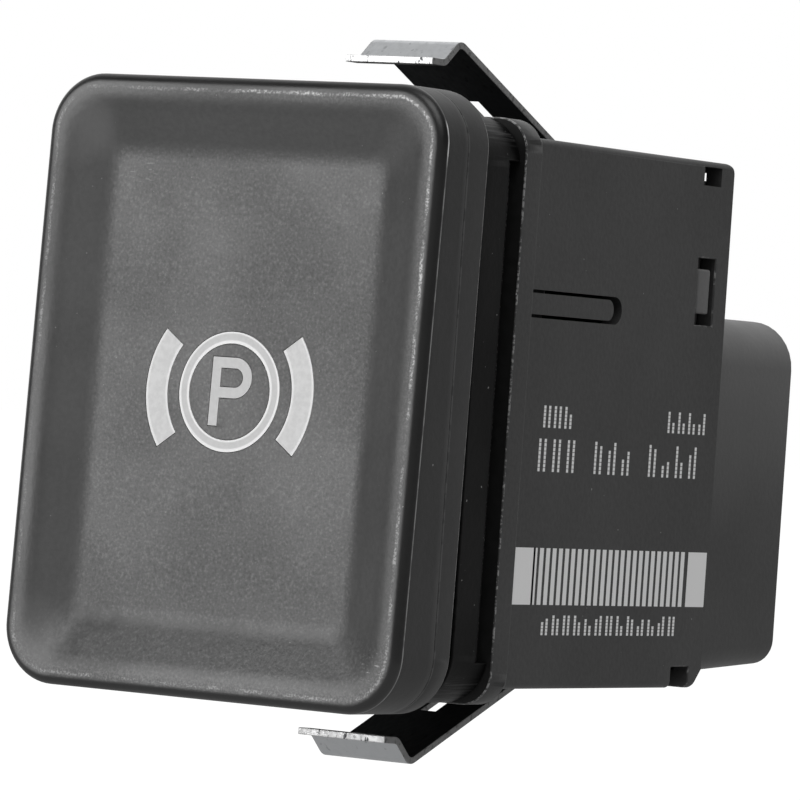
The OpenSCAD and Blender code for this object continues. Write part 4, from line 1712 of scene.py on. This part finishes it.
@dataclass
class Studio:
    """A white floor and backdrop, soft lamps and the photograph's camera."""

    floor_z: float = -60.0
    floor_size: float = 12.0
    ambient: float = 0.55
    dark_side: float = 0.07
    lamps: Sequence[Lamp] = (
        Lamp("key", -33, 11, 0.9, 0.4, 0.68, 3.45),
        Lamp("fill", 38, 58, 1.0, 0.7, 0.7, 4.2),
    )
    lens: float = 273.6
    location: tuple[float, float, float] = (198.57, -300.68, 0.87)
    view: tuple[float, float, float] = (32.73, 0.09, 3.92)

    def seen(self, tree: bpy.types.NodeTree, rays: Iterable[Ray]) -> Any:
        """Gives a socket that is 1 for these kinds of ray."""
        path = add_node(tree, "ShaderNodeLightPath").outputs
        total: Any = 0.0
        for ray in rays:
            total = add_node(
                tree, "ShaderNodeMath", {0: total, 1: path[ray.value]}, operation="MAXIMUM"
            ).outputs[0]
        return total

    def world(self) -> None:
        """Builds the backdrop: white where it is seen, dim where it lights."""
        world = bpy.data.worlds.new("white studio")
        bpy.context.scene.world = world
        world.use_nodes = True
        tree = world.node_tree
        tree.nodes.clear()
        # Mirrored rays see the white backdrop behind the part, and the dark room before it
        way = add_node(tree, "ShaderNodeTexCoord").outputs["Generated"]
        facing = add_node(
            tree,
            "ShaderNodeVectorMath",
            {0: way, 1: tuple(direction(self.view[0] + 180, 10))},
            operation="DOT_PRODUCT",
        ).outputs["Value"]
        room = add_node(
            tree,
            "ShaderNodeMapRange",
            {"Value": facing, "From Min": 0.2, "From Max": 0.8, "To Min": self.dark_side},
            interpolation_type="SMOOTHSTEP",
        ).outputs["Result"]
        mirrored = add_node(
            tree,
            "ShaderNodeMath",
            {0: self.seen(tree, [Ray.GLOSSY]), 1: room},
            operation="MULTIPLY",
        ).outputs[0]
        lit = add_node(
            tree,
            "ShaderNodeMath",
            {0: self.seen(tree, [Ray.DIFFUSE]), 1: self.ambient},
            operation="MULTIPLY",
        ).outputs[0]
        strength = mirrored
        for part in (lit, self.seen(tree, [Ray.CAMERA, Ray.TRANSMISSION])):
            strength = add_node(
                tree, "ShaderNodeMath", {0: strength, 1: part}, operation="MAXIMUM"
            ).outputs[0]
        sky = add_node(
            tree, "ShaderNodeBackground", {"Color": (1, 1, 1, 1), "Strength": strength}
        )
        add_node(tree, "ShaderNodeOutputWorld", {"Surface": sky.outputs[0]})
        world.cycles.sampling_method = "NONE"

    def floor(self) -> None:
        """Builds the plain pale floor, which keeps the part's shadow."""
        half = self.floor_size / 2
        mesh = bpy.data.meshes.new("studio_floor")
        corners = [(-half, -half), (half, -half), (half, half), (-half, half)]
        mesh.from_pydata([(x, y, self.floor_z * MM) for x, y in corners], [], [(0, 1, 2, 3)])
        made = new_object("studio_floor", mesh)
        material = bpy.data.materials.new("white paper sweep")
        material.use_nodes = True
        tree = material.node_tree
        tree.nodes.clear()
        # White where it is seen; grey where it lights, so the part's underside stays dark
        shade = add_node(
            tree,
            "ShaderNodeMix",
            {
                0: self.seen(tree, [Ray.CAMERA, Ray.TRANSMISSION]),
                6: linear("#8f8f8f"),
                7: linear("#f4f4f4"),
            },
            data_type="RGBA",
        ).outputs[2]
        paper = add_node(tree, "ShaderNodeBsdfDiffuse", {"Color": shade}).outputs[0]
        glow = add_node(
            tree, "ShaderNodeEmission", {"Color": (1, 1, 1, 1), "Strength": 1.2}
        ).outputs[0]
        mirrored = add_node(
            tree, "ShaderNodeMath", {0: self.seen(tree, [Ray.GLOSSY]), 1: 0.28}, operation="MULTIPLY"
        ).outputs[0]
        straight = add_node(
            tree,
            "ShaderNodeMath",
            {0: self.seen(tree, [Ray.CAMERA, Ray.TRANSMISSION]), 1: 0.78},
            operation="MULTIPLY",
        ).outputs[0]
        share = add_node(
            tree, "ShaderNodeMath", {0: mirrored, 1: straight}, operation="MAXIMUM"
        ).outputs[0]
        both = add_node(tree, "ShaderNodeMixShader", {0: share, 1: paper, 2: glow}).outputs[0]
        add_node(tree, "ShaderNodeOutputMaterial", {"Surface": both})
        mesh.materials.append(material)

    def camera(self) -> None:
        """Builds the camera at the photograph's place."""
        azimuth, elevation, roll = self.view
        back = direction(azimuth, elevation)
        right0 = direction(azimuth + 90, 0)
        up0 = back.cross(right0)
        turn = math.radians(roll)
        right = math.cos(turn) * right0 + math.sin(turn) * up0
        up = math.cos(turn) * up0 - math.sin(turn) * right0
        camera = bpy.data.cameras.new("photo_camera")
        camera.lens = self.lens
        camera.sensor_width = 36
        camera.clip_start = 0.01
        made = bpy.data.objects.new("photo_camera", camera)
        bpy.context.scene.collection.objects.link(made)
        place = Matrix((right, up, back)).transposed().to_4x4()
        place.translation = Vector(self.location) * MM
        made.matrix_world = place
        bpy.context.scene.camera = made

    def build(self) -> None:
        """Builds the studio."""
        bpy.context.scene.view_settings.view_transform = "Standard"
        self.world()
        self.floor()
        for lamp in self.lamps:
            lamp.build()
        self.camera()


def main() -> None:
    """Builds the studio and the switch's sub-assemblies in order."""
    logging.basicConfig(level=logging.INFO, format="%(message)s")
    Studio().build()
    palette = Palette()
    for assembly in (
        PushButton(palette),
        SwitchHousing(palette),
        RearConnector(palette),
        SpringClips(palette),
        SwitchBoard(),
    ):
        assembly.build()


if __name__ == "__main__":
    main()
